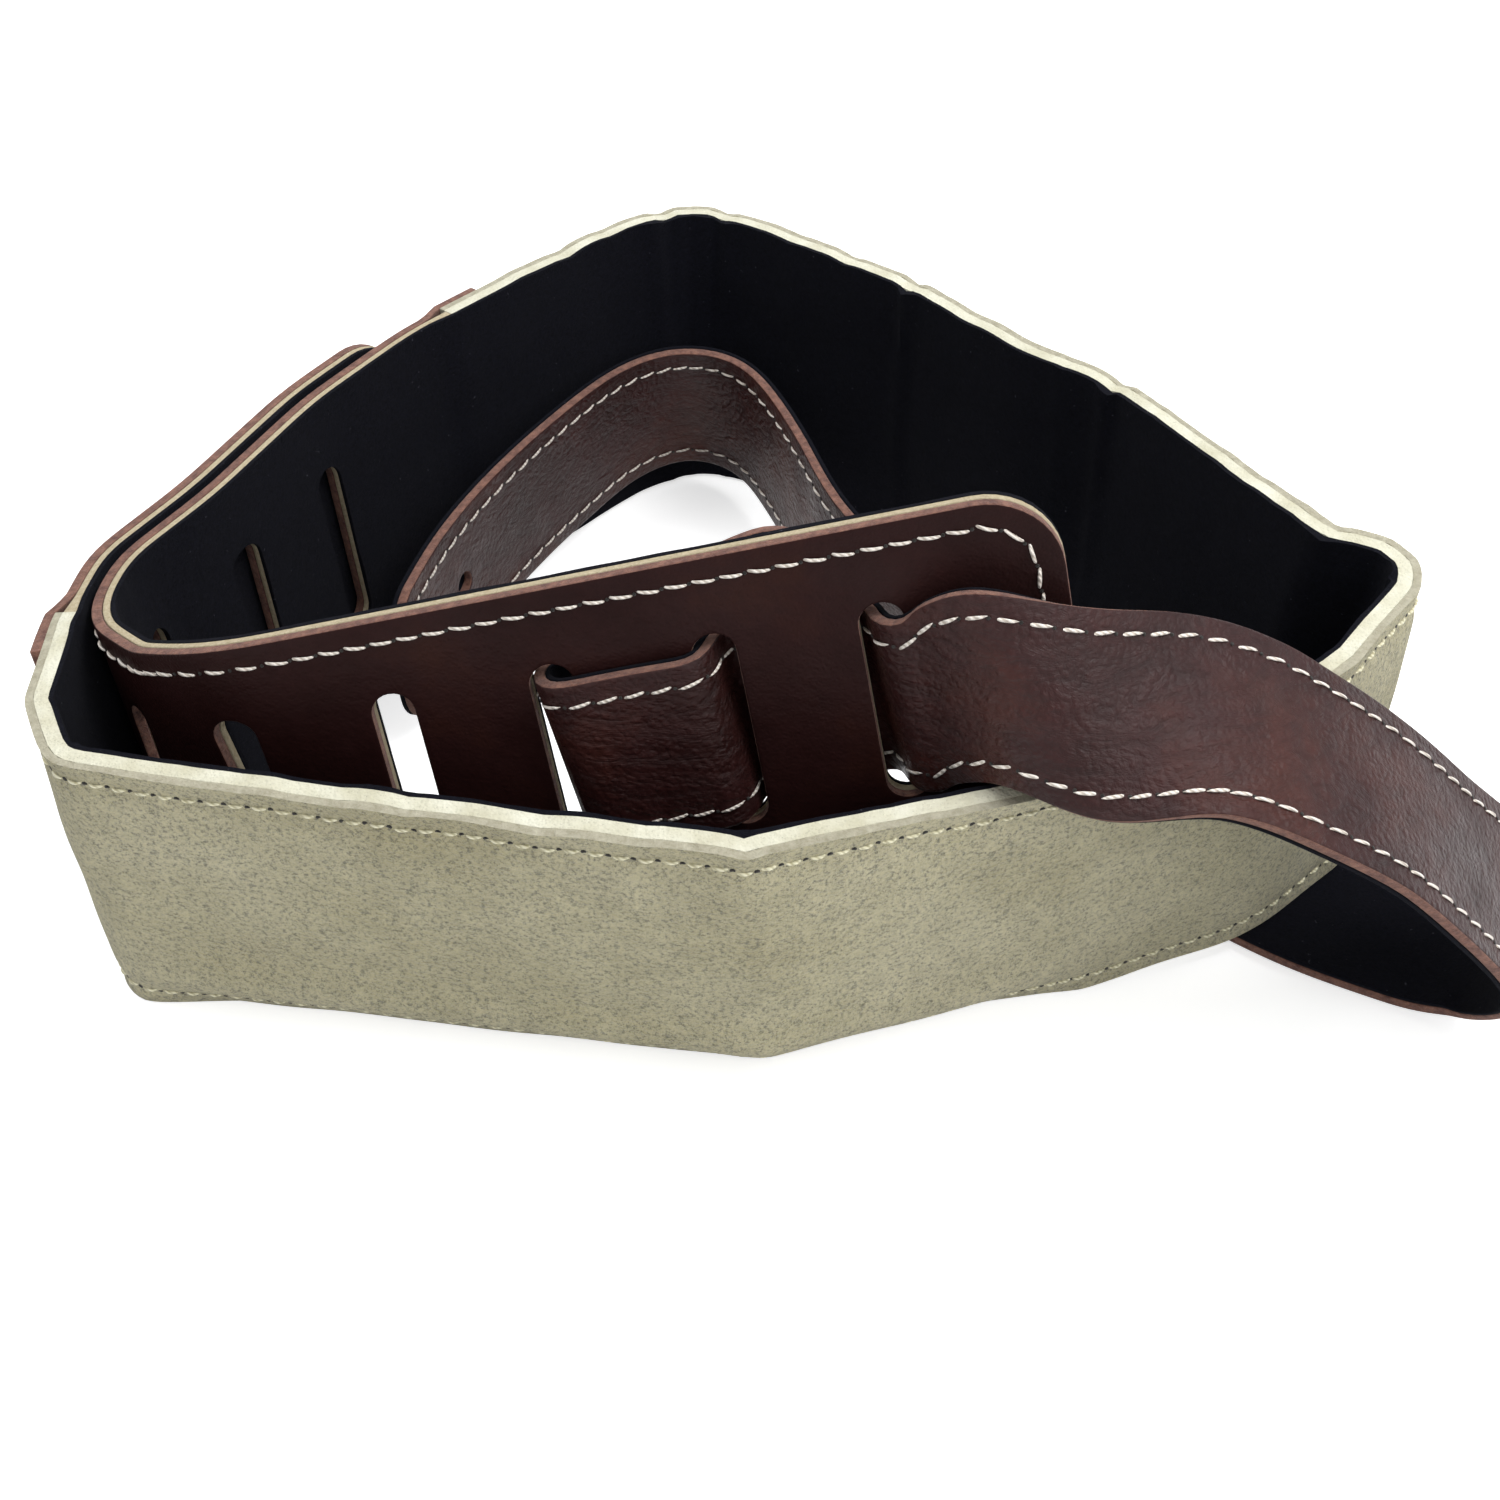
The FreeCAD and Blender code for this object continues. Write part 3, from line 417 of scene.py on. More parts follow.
class Look:
    """A Principled material built from nodes, in object coordinates, so that scales are per metre."""

    def __init__(self, name, roughness, specular=0.5, sheen=0.0):
        self.material = bpy.data.materials.new(name)
        self.material.use_nodes = True
        self.tree = self.material.node_tree
        self.tree.nodes.clear()
        self.shader = self.node("ShaderNodeBsdfPrincipled")
        self.shader.inputs["Roughness"].default_value = roughness
        self.shader.inputs["Specular IOR Level"].default_value = specular
        self.shader.inputs["Sheen Weight"].default_value = sheen
        self.shader.inputs["Sheen Roughness"].default_value = 0.6
        output = self.node("ShaderNodeOutputMaterial")
        self.link(self.shader.outputs[0], output.inputs[0])
        self.space = self.node("ShaderNodeTexCoord").outputs["Object"]
        self.height = None

    def node(self, kind, **settings):
        made = self.tree.nodes.new(kind)
        for key, value in settings.items():
            setattr(made, key, value)
        return made

    def link(self, one, two):
        self.tree.links.new(one, two)

    def stretched(self, scale):
        mapping = self.node("ShaderNodeMapping")
        mapping.inputs["Scale"].default_value = scale
        self.link(self.space, mapping.inputs["Vector"])
        return mapping.outputs[0]

    def noise(self, scale, detail=3.0, roughness=0.55, distortion=0.0, space=None):
        made = self.node("ShaderNodeTexNoise")
        self.link(space or self.space, made.inputs["Vector"])
        made.inputs["Scale"].default_value = scale
        made.inputs["Detail"].default_value = detail
        made.inputs["Roughness"].default_value = roughness
        made.inputs["Distortion"].default_value = distortion
        return made.outputs[0]

    def cells(self, scale, feature="F1", smoothness=0.4, space=None):
        made = self.node("ShaderNodeTexVoronoi", feature=feature)
        self.link(space or self.space, made.inputs["Vector"])
        made.inputs["Scale"].default_value = scale
        if feature == "SMOOTH_F1":
            made.inputs["Smoothness"].default_value = smoothness
        return made.outputs["Distance"]

    def warped(self, scale, amount):
        """The space pushed about by noise, so that cells are not round."""
        push = self.node("ShaderNodeTexNoise")
        push.inputs["Scale"].default_value = scale
        self.link(self.space, push.inputs["Vector"])
        mixed = self.node("ShaderNodeMix", data_type="VECTOR")
        mixed.inputs["Factor"].default_value = amount
        self.link(self.space, mixed.inputs[4])
        self.link(push.outputs["Color"], mixed.inputs[5])
        return mixed.outputs[1]

    def ramp(self, value, *stops):
        made = self.node("ShaderNodeValToRGB")
        band_of = made.color_ramp
        while len(band_of.elements) < len(stops):
            band_of.elements.new(0.5)
        for element, (position, shade) in zip(band_of.elements, stops):
            element.position = position
            element.color = colour(shade) if isinstance(shade, str) else (shade, shade, shade, 1.0)
        self.link(value, made.inputs[0])
        return made.outputs[0]

    def blend(self, kind, share, one, two):
        made = self.node("ShaderNodeMix", data_type="RGBA", blend_type=kind)
        if isinstance(share, float):
            made.inputs["Factor"].default_value = share
        else:
            self.link(share, made.inputs["Factor"])
        for socket, value in ((made.inputs[6], one), (made.inputs[7], two)):
            if isinstance(value, str):
                socket.default_value = colour(value)
            else:
                self.link(value, socket)
        return made.outputs[2]

    def sum(self, value, share, other, other_share):
        first = self.node("ShaderNodeMath", operation="MULTIPLY")
        self.link(value, first.inputs[0])
        first.inputs[1].default_value = share
        second = self.node("ShaderNodeMath", operation="MULTIPLY_ADD")
        self.link(other, second.inputs[0])
        second.inputs[1].default_value = other_share
        self.link(first.outputs[0], second.inputs[2])
        return second.outputs[0]

    def base(self, value):
        self.link(value, self.shader.inputs["Base Color"])

    def rough(self, value):
        self.link(value, self.shader.inputs["Roughness"])

    def bump(self, value, distance, strength=1.0):
        made = self.node("ShaderNodeBump")
        made.inputs["Distance"].default_value = distance
        made.inputs["Strength"].default_value = strength
        self.link(value, made.inputs["Height"])
        if self.height:
            self.link(self.height, made.inputs["Normal"])
        self.height = made.outputs[0]
        self.link(self.height, self.shader.inputs["Normal"])


def suede_look():
    look = Look("suede_nap", 0.95, 0.15, 0.35)
    patches = look.ramp(look.noise(26.0, 4.0, 0.6), (0.32, "C5BB8F"), (0.5, "D3CAA1"), (0.68, "DFD6AF"))
    streaks = look.ramp(look.noise(210.0, 4.0, 0.65), (0.3, 0.74), (0.7, 1.0))
    grain = look.ramp(look.noise(1050.0, 4.0, 0.85), (0.38, 0.26), (0.5, 0.88), (0.66, 1.0))
    toned = look.blend("MULTIPLY", 0.6, patches, streaks)
    look.base(look.blend("MULTIPLY", 0.9, toned, grain))
    look.bump(look.noise(900.0, 4.0, 0.75), 0.0014, 1.0)
    look.bump(look.noise(90.0, 3.0), 0.0012, 0.35)
    return look.material


def foam_look():
    look = Look("cut_foam", 0.9, 0.2, 0.1)
    tone = look.ramp(look.noise(120.0, 3.0), (0.3, "C2BEA6"), (0.7, "DAD8C6"))
    # Painted shade: darker at the middle of each cell, in the pits that the same cells sink as bump.
    pore_shade = look.ramp(look.cells(1500.0), (0.0, 0.62), (0.3, 1.0))
    look.base(look.blend("MULTIPLY", 0.6, tone, pore_shade))
    look.bump(look.cells(1500.0), 0.0004, 0.6)
    look.bump(look.noise(500.0, 4.0, 0.7), 0.0008, 0.6)
    return look.material


def felt_look(name, dark, light, lint):
    look = Look(name, 1.0, 0.05, 0.02)
    fibre = look.noise(1300.0, 5.0, 0.8, 0.6)
    tone = look.ramp(fibre, (0.3, dark), (0.75, light))
    specks = look.ramp(look.noise(900.0, 2.0, 0.5), (0.73, 0.0), (0.78, 1.0))
    look.base(look.blend("MIX", specks, tone, lint))
    look.bump(fibre, 0.0006, 0.8)
    look.bump(look.noise(110.0, 2.0), 0.0012, 0.3)
    return look.material


def smooth_leather_look():
    look = Look("smooth_leather", 0.46, 0.09)
    tone = look.ramp(look.noise(38.0, 5.0, 0.6), (0.3, "210F0E"), (0.55, "2A1514"), (0.75, "341B15"))
    grain = look.noise(420.0, 5.0, 0.65, 0.3)
    look.base(look.blend("MULTIPLY", 0.5, tone, look.ramp(grain, (0.3, 0.72), (0.7, 1.0))))
    look.rough(look.ramp(look.noise(70.0, 4.0), (0.3, 0.42), (0.7, 0.58)))
    look.bump(look.cells(1700.0, "SMOOTH_F1", 0.6), 0.00016, 0.6)
    look.bump(grain, 0.00045, 0.55)
    return look.material


def grained_leather_look():
    look = Look("grained_leather", 0.4, 0.2)
    pebbles = look.cells(780.0, "SMOOTH_F1", 0.3, look.warped(330.0, 0.0014))
    wrinkles = look.noise(150.0, 5.0, 0.7, 1.2, look.stretched((0.55, 1.0, 1.7)))
    tone = look.ramp(look.noise(28.0, 4.0, 0.6), (0.3, "2A1412"), (0.5, "361B1A"), (0.72, "4A261F"))
    # Painted shade: the colour is darker in the grooves between the pebbles, where the pebble bump sinks.
    groove_shade = look.ramp(pebbles, (0.1, 1.0), (0.6, 0.74))
    # Painted shade: the wrinkle ramp darkens the colour in the creases that the wrinkle bump sinks.
    look.base(look.blend("MULTIPLY", 0.7, look.blend("MULTIPLY", 0.6, tone, groove_shade),
                         look.ramp(wrinkles, (0.35, 0.62), (0.55, 1.0))))
    look.rough(look.ramp(look.noise(95.0, 4.0), (0.3, 0.30), (0.7, 0.46)))
    look.bump(wrinkles, 0.0016, 0.55)
    look.bump(pebbles, -0.00035, 0.7)
    look.bump(look.noise(1500.0, 4.0, 0.7), 0.0002, 0.5)
    return look.material


def raw_edge_look(name, dark, light):
    look = Look(name, 0.85, 0.2, 0.15)
    tone = look.ramp(look.noise(520.0, 4.0, 0.75), (0.3, dark), (0.72, light))
    look.base(tone)
    look.bump(look.noise(1300.0, 4.0, 0.8), 0.0009, 0.9)
    return look.material


def thread_look(name, dark, light):
    look = Look(name, 0.6, 0.35, 0.2)
    strands = look.node("ShaderNodeTexWave", wave_type="BANDS", bands_direction="DIAGONAL")
    strands.inputs["Scale"].default_value = 420.0
    strands.inputs["Distortion"].default_value = 1.5
    look.link(look.space, strands.inputs["Vector"])
    twist = look.sum(strands.outputs["Fac"], 0.4, look.noise(700.0), 0.5)
    look.base(look.ramp(twist, (0.2, dark), (0.55, light)))
    look.bump(strands.outputs["Fac"], 0.0003, 0.6)
    return look.material


SUEDE_NAP = suede_look()
SUEDE_EDGE = raw_edge_look("suede_cut_edge", "A39C84", "CBC6B0")
CUT_FOAM = foam_look()
BLACK_FELT = felt_look("black_felt", "07070C", "151620", "3A3A42")
CREAM_FELT = felt_look("cream_felt", "A8987A", "D2C7AC", "E3DCC8")
SMOOTH_LEATHER = smooth_leather_look()
GRAINED_LEATHER = grained_leather_look()
RAW_EDGE = raw_edge_look("raw_leather_edge", "54302A", "9C6F5C")
FLESH_SIDE = raw_edge_look("leather_flesh_side", "4A2E24", "76503F")
WHITE_THREAD = thread_look("white_thread", "B9AC9E", "F0E8DE")
SUEDE_THREAD = thread_look("suede_thread", "C2BA94", "F2EDCF")
# Near-black painted shade for the needle holes.
NEEDLE_HOLE_SHADE = raw_edge_look("needle_hole_shade", "15110E", "2C261F")

# ---------------------------------------------------------------- plies


def outline(first, last, width, start_round, end_round, step):
    """Points round a strip with rounded corners at either end, at most a step apart."""
    corners = ((last, 0.0, end_round, -90.0), (last, width, end_round, 0.0),
               (first, width, start_round, 90.0), (first, 0.0, start_round, 180.0))
    loop = []
    for x, y, radius, start in corners:
        centre_x = x - radius if x == last else x + radius
        centre_y = y + radius if y == 0.0 else y - radius
        turns = 10 if radius else 0
        for k in range(turns + 1):
            angle = math.radians(start + 90.0 * k / max(turns, 1))
            loop.append((centre_x + radius * math.cos(angle), centre_y + radius * math.sin(angle)))
    return divided(loop, step)


def divided(loop, step):
    """A closed loop with points added so that none is more than a step from the next."""
    out = []
    for (x0, y0), (x1, y1) in zip(loop, loop[1:] + loop[:1]):
        pieces = max(1, math.ceil(math.hypot(x1 - x0, y1 - y0) / step))
        out += [(x0 + (x1 - x0) * k / pieces, y0 + (y1 - y0) * k / pieces) for k in range(pieces)]
    return out


def slot_loop(x, y, width, length, step):
    """Points round a slot that lies across the strip; a round hole has width equal to length."""
    radius, straight = width / 2.0, (length - width) / 2.0
    loop = []
    for side in (1.0, -1.0):
        for k in range(13 if straight else 12):
            angle = math.radians(180.0 * k / 12.0) + (0.0 if side > 0 else math.pi)
            loop.append((x + radius * math.cos(angle), y + side * straight + radius * math.sin(angle)))
    return divided(loop, step)


def in_slot(points, x, y, width, length):
    """Which points lie inside a slot."""
    straight = (length - width) / 2.0
    away_y = np.maximum(np.abs(points[:, 1] - y) - straight, 0.0)
    return np.hypot(points[:, 0] - x, away_y) < width / 2.0 - 0.04


def flat_mesh(first, last, width, rounds, slots, step):
    """Points and triangles of a strip with rounded corners and slots, in (distance, width)."""
    loops = [outline(first, last, width, rounds[0], rounds[1], step)]
    loops += [slot_loop(*slot, min(step, 1.6)) for slot in slots]
    edge_points = np.array([p for loop in loops for p in loop])
    edges, start = [], 0
    for loop in loops:
        edges += [(start + k, start + (k + 1) % len(loop)) for k in range(len(loop))]
        start += len(loop)
    columns, rows = max(2, round((last - first) / step)), max(2, round(width / step))
    grid = np.array([(first + (last - first) * i / columns, width * j / rows)
                     for i in range(1, columns) for j in range(1, rows)])
    keep = np.ones(len(grid), bool)
    for block in range(0, len(grid), 2000):
        near = grid[block:block + 2000, None, :] - edge_points[None, :, :]
        keep[block:block + 2000] = np.min(np.hypot(near[..., 0], near[..., 1]), axis=1) > step * 0.55
    for slot in slots:
        keep &= ~in_slot(grid, *slot)
    for x, side in ((first, rounds[0]), (last, rounds[1])):
        corner_x = x + side if x == first else x - side
        for corner_y, below in ((side, True), (width - side, False)):
            beyond = (grid[:, 0] - corner_x) * (-1 if x == first else 1) > 0
            beyond &= (grid[:, 1] < corner_y) if below else (grid[:, 1] > corner_y)
            keep &= ~(beyond & (np.hypot(grid[:, 0] - corner_x, grid[:, 1] - corner_y) > side - step * 0.5))
    points = np.concatenate([edge_points, grid[keep]])
    made = delaunay_2d_cdt([Vector(p) for p in points], edges, [], 0, 1e-6)
    points, triangles = np.array([tuple(v) for v in made[0]]), np.array(made[2])
    centres = points[triangles].mean(axis=1)
    inside = np.ones(len(triangles), bool)
    for slot in slots:
        inside &= ~in_slot(centres, *slot)
    return points, triangles[inside]


def new_piece(name, vertices, faces, materials, which, smooth=True):
    mesh = bpy.data.meshes.new(name)
    mesh.from_pydata((np.asarray(vertices) * MM).tolist(), [], faces)
    for material in materials:
        mesh.materials.append(material)
    mesh.polygons.foreach_set("material_index", which)
    mesh.polygons.foreach_set("use_smooth", [smooth] * len(faces))
    mesh.update()
    piece = bpy.data.objects.new(name, mesh)
    bpy.context.scene.collection.objects.link(piece)
    return piece


def ply(name, ribbon, span, outer, inner, materials, rounds=(0.0, 0.0), slots=(), step=3.0, rounding=0.3):
    """A closed sheet over part of a ribbon; outer and inner give its two faces' depths."""
    points, triangles = flat_mesh(span[0], span[1], ribbon.width, rounds, slots, step)
    distance, width = points[:, 0], points[:, 1]
    outer_face = ribbon.place(distance, width, outer(distance, width))
    inner_face = ribbon.place(distance, width, inner(distance, width))
    count = len(points)
    sides = {}
    for a, b, c in triangles:
        for one, two in ((a, b), (b, c), (c, a)):
            if (two, one) in sides:
                del sides[(two, one)]
            else:
                sides[(one, two)] = True
    faces = [tuple(int(v) for v in t[::-1]) for t in triangles]
    faces += [tuple(int(v) + count for v in t) for t in triangles]
    faces += [(int(one), int(two), int(two) + count, int(one) + count) for one, two in sides]
    which = [0] * len(triangles) + [1] * len(triangles) + [2] * len(sides)
    piece = new_piece(name, np.concatenate([outer_face, inner_face]), faces, materials, which)
    edge = piece.modifiers.new("rounded_edges", "BEVEL")
    edge.width = rounding * MM
    edge.segments = 2
    edge.limit_method = "ANGLE"
    edge.angle_limit = math.radians(50.0)
    shade = piece.modifiers.new("even_shading", "WEIGHTED_NORMAL")
    shade.weight = 80
    return piece


def level(depth):
    return lambda distance, width: np.full(len(distance), depth)


def along_table(*rows):
    """A depth that changes along the ribbon, straight between its rows."""
    at, depths = [row[0] for row in rows], [row[1] for row in rows]
    return lambda distance, width: np.interp(distance, at, depths)


SUEDE_START = PANEL_LENGTH - LAP_LENGTH
RISE_START = SUEDE_START - LAP_RISE
SUEDE_END = TAB_START + LAP_LENGTH
DROP_END = SUEDE_END + LAP_RISE
TAB_HOLE = (band.length - TAB_HOLE_FROM_END, MIDDLE, 2 * HOLE_RADIUS, 2 * HOLE_RADIUS)
SLOT_PLACES = [(at, MIDDLE, SLOT_WIDTH, SLOT_LENGTH) for at in SLOTS]


def field(distance, width, cell, seed):
    """Smooth noise over a ribbon, about -1 to 1."""
    places = zip(distance / cell, width / cell)
    return 2.0 * np.array([noise.noise(Vector((d, w, seed * 3.7))) for d, w in places])


def suede_outer(distance, width):
    """The padded face: a soft crown between the two stitch rows, pulled in along each of them."""
    row = np.minimum(np.abs(width - STITCH_INSET), np.abs(BAND - STITCH_INSET - width))
    across = np.clip((width - STITCH_INSET) / (BAND - 2 * STITCH_INSET), 0.0, 1.0)
    crown = 0.9 * np.sin(math.pi * across) ** 0.6
    ends = np.clip((distance - PANEL_LENGTH) / 12.0, 0.0, 1.0)
    ends = ends * np.clip((TAB_START - distance) / 12.0, 0.0, 1.0)
    pull = 0.5 * np.exp(-0.5 * (row / 1.8) ** 2)
    roll = 1.9 * front_wall(distance) * np.exp(-0.5 * ((width - 12.0) / 4.2) ** 2)
    return -(crown + roll + 0.22 * field(distance, width, 17.0, 5)) * ends + pull * ends


def lining_inner(distance, width):
    """The felt, with creases where the wall turns."""
    depth = np.interp(distance, [RISE_START, SUEDE_START, SUEDE_END, DROP_END],
                      [PANEL_STACK, SUEDE_CORE + LINING, SUEDE_CORE + LINING, PANEL_STACK])
    creases = np.zeros(len(distance))
    places = ((APEX - 13, 1.3), (APEX - 5, 0.7), (APEX + 2, 0.9), (APEX + 9, 1.2), (SECOND, 1.5),
              (SECOND - 34, 0.4), (THIRD, 1.4), (THIRD - 12, 0.4), (TURN, 1.1), (KNEE, 1.0),
              (FRONT_CORNER, 1.0), (LEFT_CORNER, 0.8))
    for at, high in places:
        lean = 2.0 * np.sin(width / 23.0 + at)
        fade = 0.35 + 0.65 * np.clip(width / BAND, 0.0, 1.0)
        creases += high * fade * np.exp(-0.5 * ((distance - at - lean) / 1.5) ** 2)
    return depth + creases + 0.15 * field(distance, width, 9.0, 8)


# What is left between two plies, so that their faces do not meet.
HAIR = 0.02
pieces = {}
pieces["suede_face"] = ply(
    "suede_skin", band, (SUEDE_START, SUEDE_END), suede_outer, level(SUEDE - HAIR),
    (SUEDE_NAP, SUEDE_NAP, SUEDE_EDGE), step=1.8, rounding=0.45)
pieces["foam_padding"] = ply(
    "foam_core", band, (SUEDE_START, SUEDE_END), level(SUEDE + HAIR), level(SUEDE_CORE - HAIR),
    (CUT_FOAM,) * 3, step=3.2, rounding=0.5)
pieces["end_tab_felt"] = ply(
    "end_tab_padding", band, (SUEDE_END, band.length),
    along_table((SUEDE_END, SUEDE + HAIR), (DROP_END, LEATHER + HAIR)),
    along_table((SUEDE_END, SUEDE_CORE - HAIR), (DROP_END, PANEL_CORE - HAIR)),
    (CREAM_FELT,) * 3, (0.0, PANEL_CORNER), [TAB_HOLE], 2.8, 0.3)
pieces["felt_lining"] = ply(
    "lining_felt", band, (0.0, band.length),
    along_table((RISE_START, PANEL_CORE), (SUEDE_START, SUEDE_CORE),
                (SUEDE_END, SUEDE_CORE), (DROP_END, PANEL_CORE)),
    lining_inner, (BLACK_FELT,) * 3, (PANEL_CORNER, PANEL_CORNER), SLOT_PLACES + [TAB_HOLE],
    2.4, 0.25)
pieces["slotted_panel"] = ply(
    "slotted_leather", band, (0.0, PANEL_LENGTH), along_table((RISE_START, 0.0), (SUEDE_START, -LEATHER)),
    along_table((RISE_START, LEATHER - HAIR), (SUEDE_START, -HAIR)),
    (SMOOTH_LEATHER, FLESH_SIDE, RAW_EDGE), (PANEL_CORNER, 0.0), SLOT_PLACES, 2.4, 0.45)
pieces["panel_felt"] = ply(
    "panel_padding", band, (0.0, SUEDE_START), level(LEATHER + HAIR),
    along_table((RISE_START, PANEL_CORE - HAIR), (SUEDE_START, SUEDE_CORE - HAIR)),
    (CREAM_FELT,) * 3, (PANEL_CORNER, 0.0), SLOT_PLACES, 2.8, 0.3)
pieces["end_tab"] = ply(
    "end_tab_leather", band, (TAB_START, band.length), along_table((SUEDE_END, -LEATHER), (DROP_END, 0.0)),
    along_table((SUEDE_END, -HAIR), (DROP_END, LEATHER - HAIR)),
    (SMOOTH_LEATHER, FLESH_SIDE, RAW_EDGE), (0.0, PANEL_CORNER), [TAB_HOLE], 2.4, 0.45)
STRAP_HOLE = (HOLE_FROM_END, STRAP_WIDTH / 2.0, 2 * HOLE_RADIUS, 2 * HOLE_RADIUS)
pieces["adjuster_leather"] = ply(
    "strap_leather", strap, (0.0, strap.length), level(FACE), level(BACK - HAIR),
    (GRAINED_LEATHER, FLESH_SIDE, RAW_EDGE), (STRAP_CORNER, STRAP_CORNER), [STRAP_HOLE], 1.9, 0.5)
pieces["adjuster_lining"] = ply(
    "strap_felt", strap, (0.0, strap.length), level(BACK), level(STRAP / 2.0),
    (BLACK_FELT,) * 3, (STRAP_CORNER, STRAP_CORNER), [STRAP_HOLE], 2.2, 0.25)

# ---------------------------------------------------------------- stitches
SIDES, RINGS = 6, 7


def stitch_shape(length, width, height):
    """One arched stitch about the origin, X along it and Z out of the leather, with its faces."""
    points, faces = [], []
    for ring in range(RINGS):
        share = ring / (RINGS - 1) * 2.0 - 1.0
        swell = max(math.cos(share * math.pi / 2.0), 0.0) ** 0.35
        lift = height * (0.95 - 1.15 * abs(share) ** 2.6)
        for side in range(SIDES):
            angle = 2.0 * math.pi * side / SIDES
            points.append((share * length / 2.0, math.cos(angle) * width / 2.0 * max(swell, 0.12),
                           lift - height * 0.45 + math.sin(angle) * height / 2.0 * max(swell, 0.12)))
    for ring in range(RINGS - 1):
        for side in range(SIDES):
            a, b = ring * SIDES + side, ring * SIDES + (side + 1) % SIDES
            faces.append((a, b, b + SIDES, a + SIDES))
    faces.append(tuple(range(SIDES))[::-1])
    faces.append(tuple(range((RINGS - 1) * SIDES, RINGS * SIDES)))
    return np.array(points), faces


def hole_shape(radius):
    """A shallow dark dimple, as a low cone frustum; its dark colour is a needle hole's painted shade."""
    sides = 7
    ring = [(math.cos(2 * math.pi * k / sides), math.sin(2 * math.pi * k / sides)) for k in range(sides)]
    points = [(x * radius, y * radius, lift) for lift in (0.14, -0.4) for x, y in ring]
    faces = [tuple(range(sides)), tuple(range(sides, 2 * sides))[::-1]]
    faces += [(k, k + sides, (k + 1) % sides + sides, (k + 1) % sides) for k in range(sides)]
    return np.array(points), faces


def stitches(name, ribbon, paths, face, pitch, length, width, height, thread, slant, hole_radius):
    """Separate stitches along paths of (distance, width) points, with dark discs of painted shade for the
    needle holes between them.
    """
    shape, shape_faces = stitch_shape(length, width, height)
    dimple, dimple_faces = hole_shape(hole_radius)
    vertices, faces, which = [], [], []

    def lay(form, form_faces, at, turn, material):
        distance, up = at
        ahead, across, out = ribbon.axes(np.array(distance))
        depth = face(np.array([distance]), np.array([up]))[0]
        centre = ribbon.place(distance, up, depth)
        x = form[:, :1] * math.cos(turn) - form[:, 1:2] * math.sin(turn)
        y = form[:, :1] * math.sin(turn) + form[:, 1:2] * math.cos(turn)
        start = sum(len(v) for v in vertices)
        vertices.append(centre + x * ahead + y * across + form[:, 2:] * out)
        faces.extend(tuple(v + start for v in reversed(f)) for f in form_faces)
        which.extend([material] * len(form_faces))

    for path in paths:
        path = np.array(path)
        at = measured(path)
        count = max(1, round(at[-1] / pitch))
        for k in range(count):
            middle = at[-1] * (k + 0.5) / count
            here = [np.interp(middle, at, path[:, i]) for i in (0, 1)]
            before = [np.interp(middle - 0.5, at, path[:, i]) for i in (0, 1)]
            after = [np.interp(middle + 0.5, at, path[:, i]) for i in (0, 1)]
            turn = math.atan2(after[1] - before[1], after[0] - before[0])
            turn += math.radians(slant + random.uniform(-3.0, 3.0))
            lay(shape * [random.uniform(0.96, 1.03), 1.0, 1.0], shape_faces, here, turn, 0)
            if k < count - 1:
                spot = [np.interp(at[-1] * (k + 1.0) / count, at, path[:, i]) for i in (0, 1)]
                lay(dimple, dimple_faces, spot, 0.0, 1)
    return new_piece(name, np.concatenate(vertices), faces, (thread, NEEDLE_HOLE_SHADE), which)


def end_path(ribbon, corner, at_start):
    """Stitch line round a rounded end, from the low row to the high one."""
    radius = corner - STITCH_INSET
    points = []
    for k in range(9):
        angle = math.pi / 2.0 * k / 8
        away, up = radius * (1.0 - math.sin(angle)), radius * (1.0 - math.cos(angle))
        points.append((END_INSET + away, STITCH_INSET + up))
    points += [(away, ribbon.width - up) for away, up in reversed(points)]
    return [(away if at_start else ribbon.length - away, up) for away, up in points]


def row(first, last, up):
    return [(first + (last - first) * k / 200, up) for k in range(201)]


panel_face = along_table((RISE_START, 0.0), (SUEDE_START, -LEATHER))
tab_face = along_table((SUEDE_END, -LEATHER), (DROP_END, 0.0))
top = BAND - STITCH_INSET
pieces["band_stitching"] = stitches(
    "suede_stitches", band,
    [row(PANEL_LENGTH + 1.5, TAB_START - 1.5, STITCH_INSET), row(PANEL_LENGTH + 1.5, TAB_START - 1.5, top)],
    suede_outer, 4.6, 3.8, 0.62, 0.75, SUEDE_THREAD, -3.0, 0.58)
first = END_INSET + PANEL_CORNER
panel_path = row(PANEL_LENGTH - 2.5, first, STITCH_INSET) + end_path(band, PANEL_CORNER, True)
panel_path += row(first, PANEL_LENGTH - 2.5, top)
pieces["panel_stitching"] = stitches(
    "panel_stitches", band, [panel_path], panel_face, 5.2, 5.2, 0.75, 0.7, WHITE_THREAD, 8.0, 0.38)
last = band.length - END_INSET - PANEL_CORNER
tab_path = row(TAB_START + 2.5, last, STITCH_INSET) + end_path(band, PANEL_CORNER, False)
tab_path += row(last, TAB_START + 2.5, top)
pieces["end_tab_stitching"] = stitches(
    "end_tab_stitches", band, [tab_path], tab_face, 5.2, 5.2, 0.75, 0.7, WHITE_THREAD, 8.0, 0.38)
first, last = END_INSET + STRAP_CORNER, strap.length - END_INSET - STRAP_CORNER
strap_top = STRAP_WIDTH - STITCH_INSET
strap_path = row(last, first, STITCH_INSET) + end_path(strap, STRAP_CORNER, True)
strap_path += row(first, last, strap_top) + end_path(strap, STRAP_CORNER, False)[::-1]
pieces["adjuster_stitching"] = stitches(
    "strap_stitches", strap, [strap_path], level(FACE), 5.2, 5.2, 0.75, 0.5, WHITE_THREAD, -8.0, 0.38)

# ---------------------------------------------------------------- what stands for what
BODIES = frame["record"]["behaviour"]["bodies"]
for node, piece in pieces.items():
    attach(piece, next(name for name, nodes in BODIES.items() if node in nodes))
    stands_for = (node, "adjuster_end") if node == "adjuster_leather" else (node,)
    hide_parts(*stands_for)

# ---------------------------------------------------------------- stage, light and camera


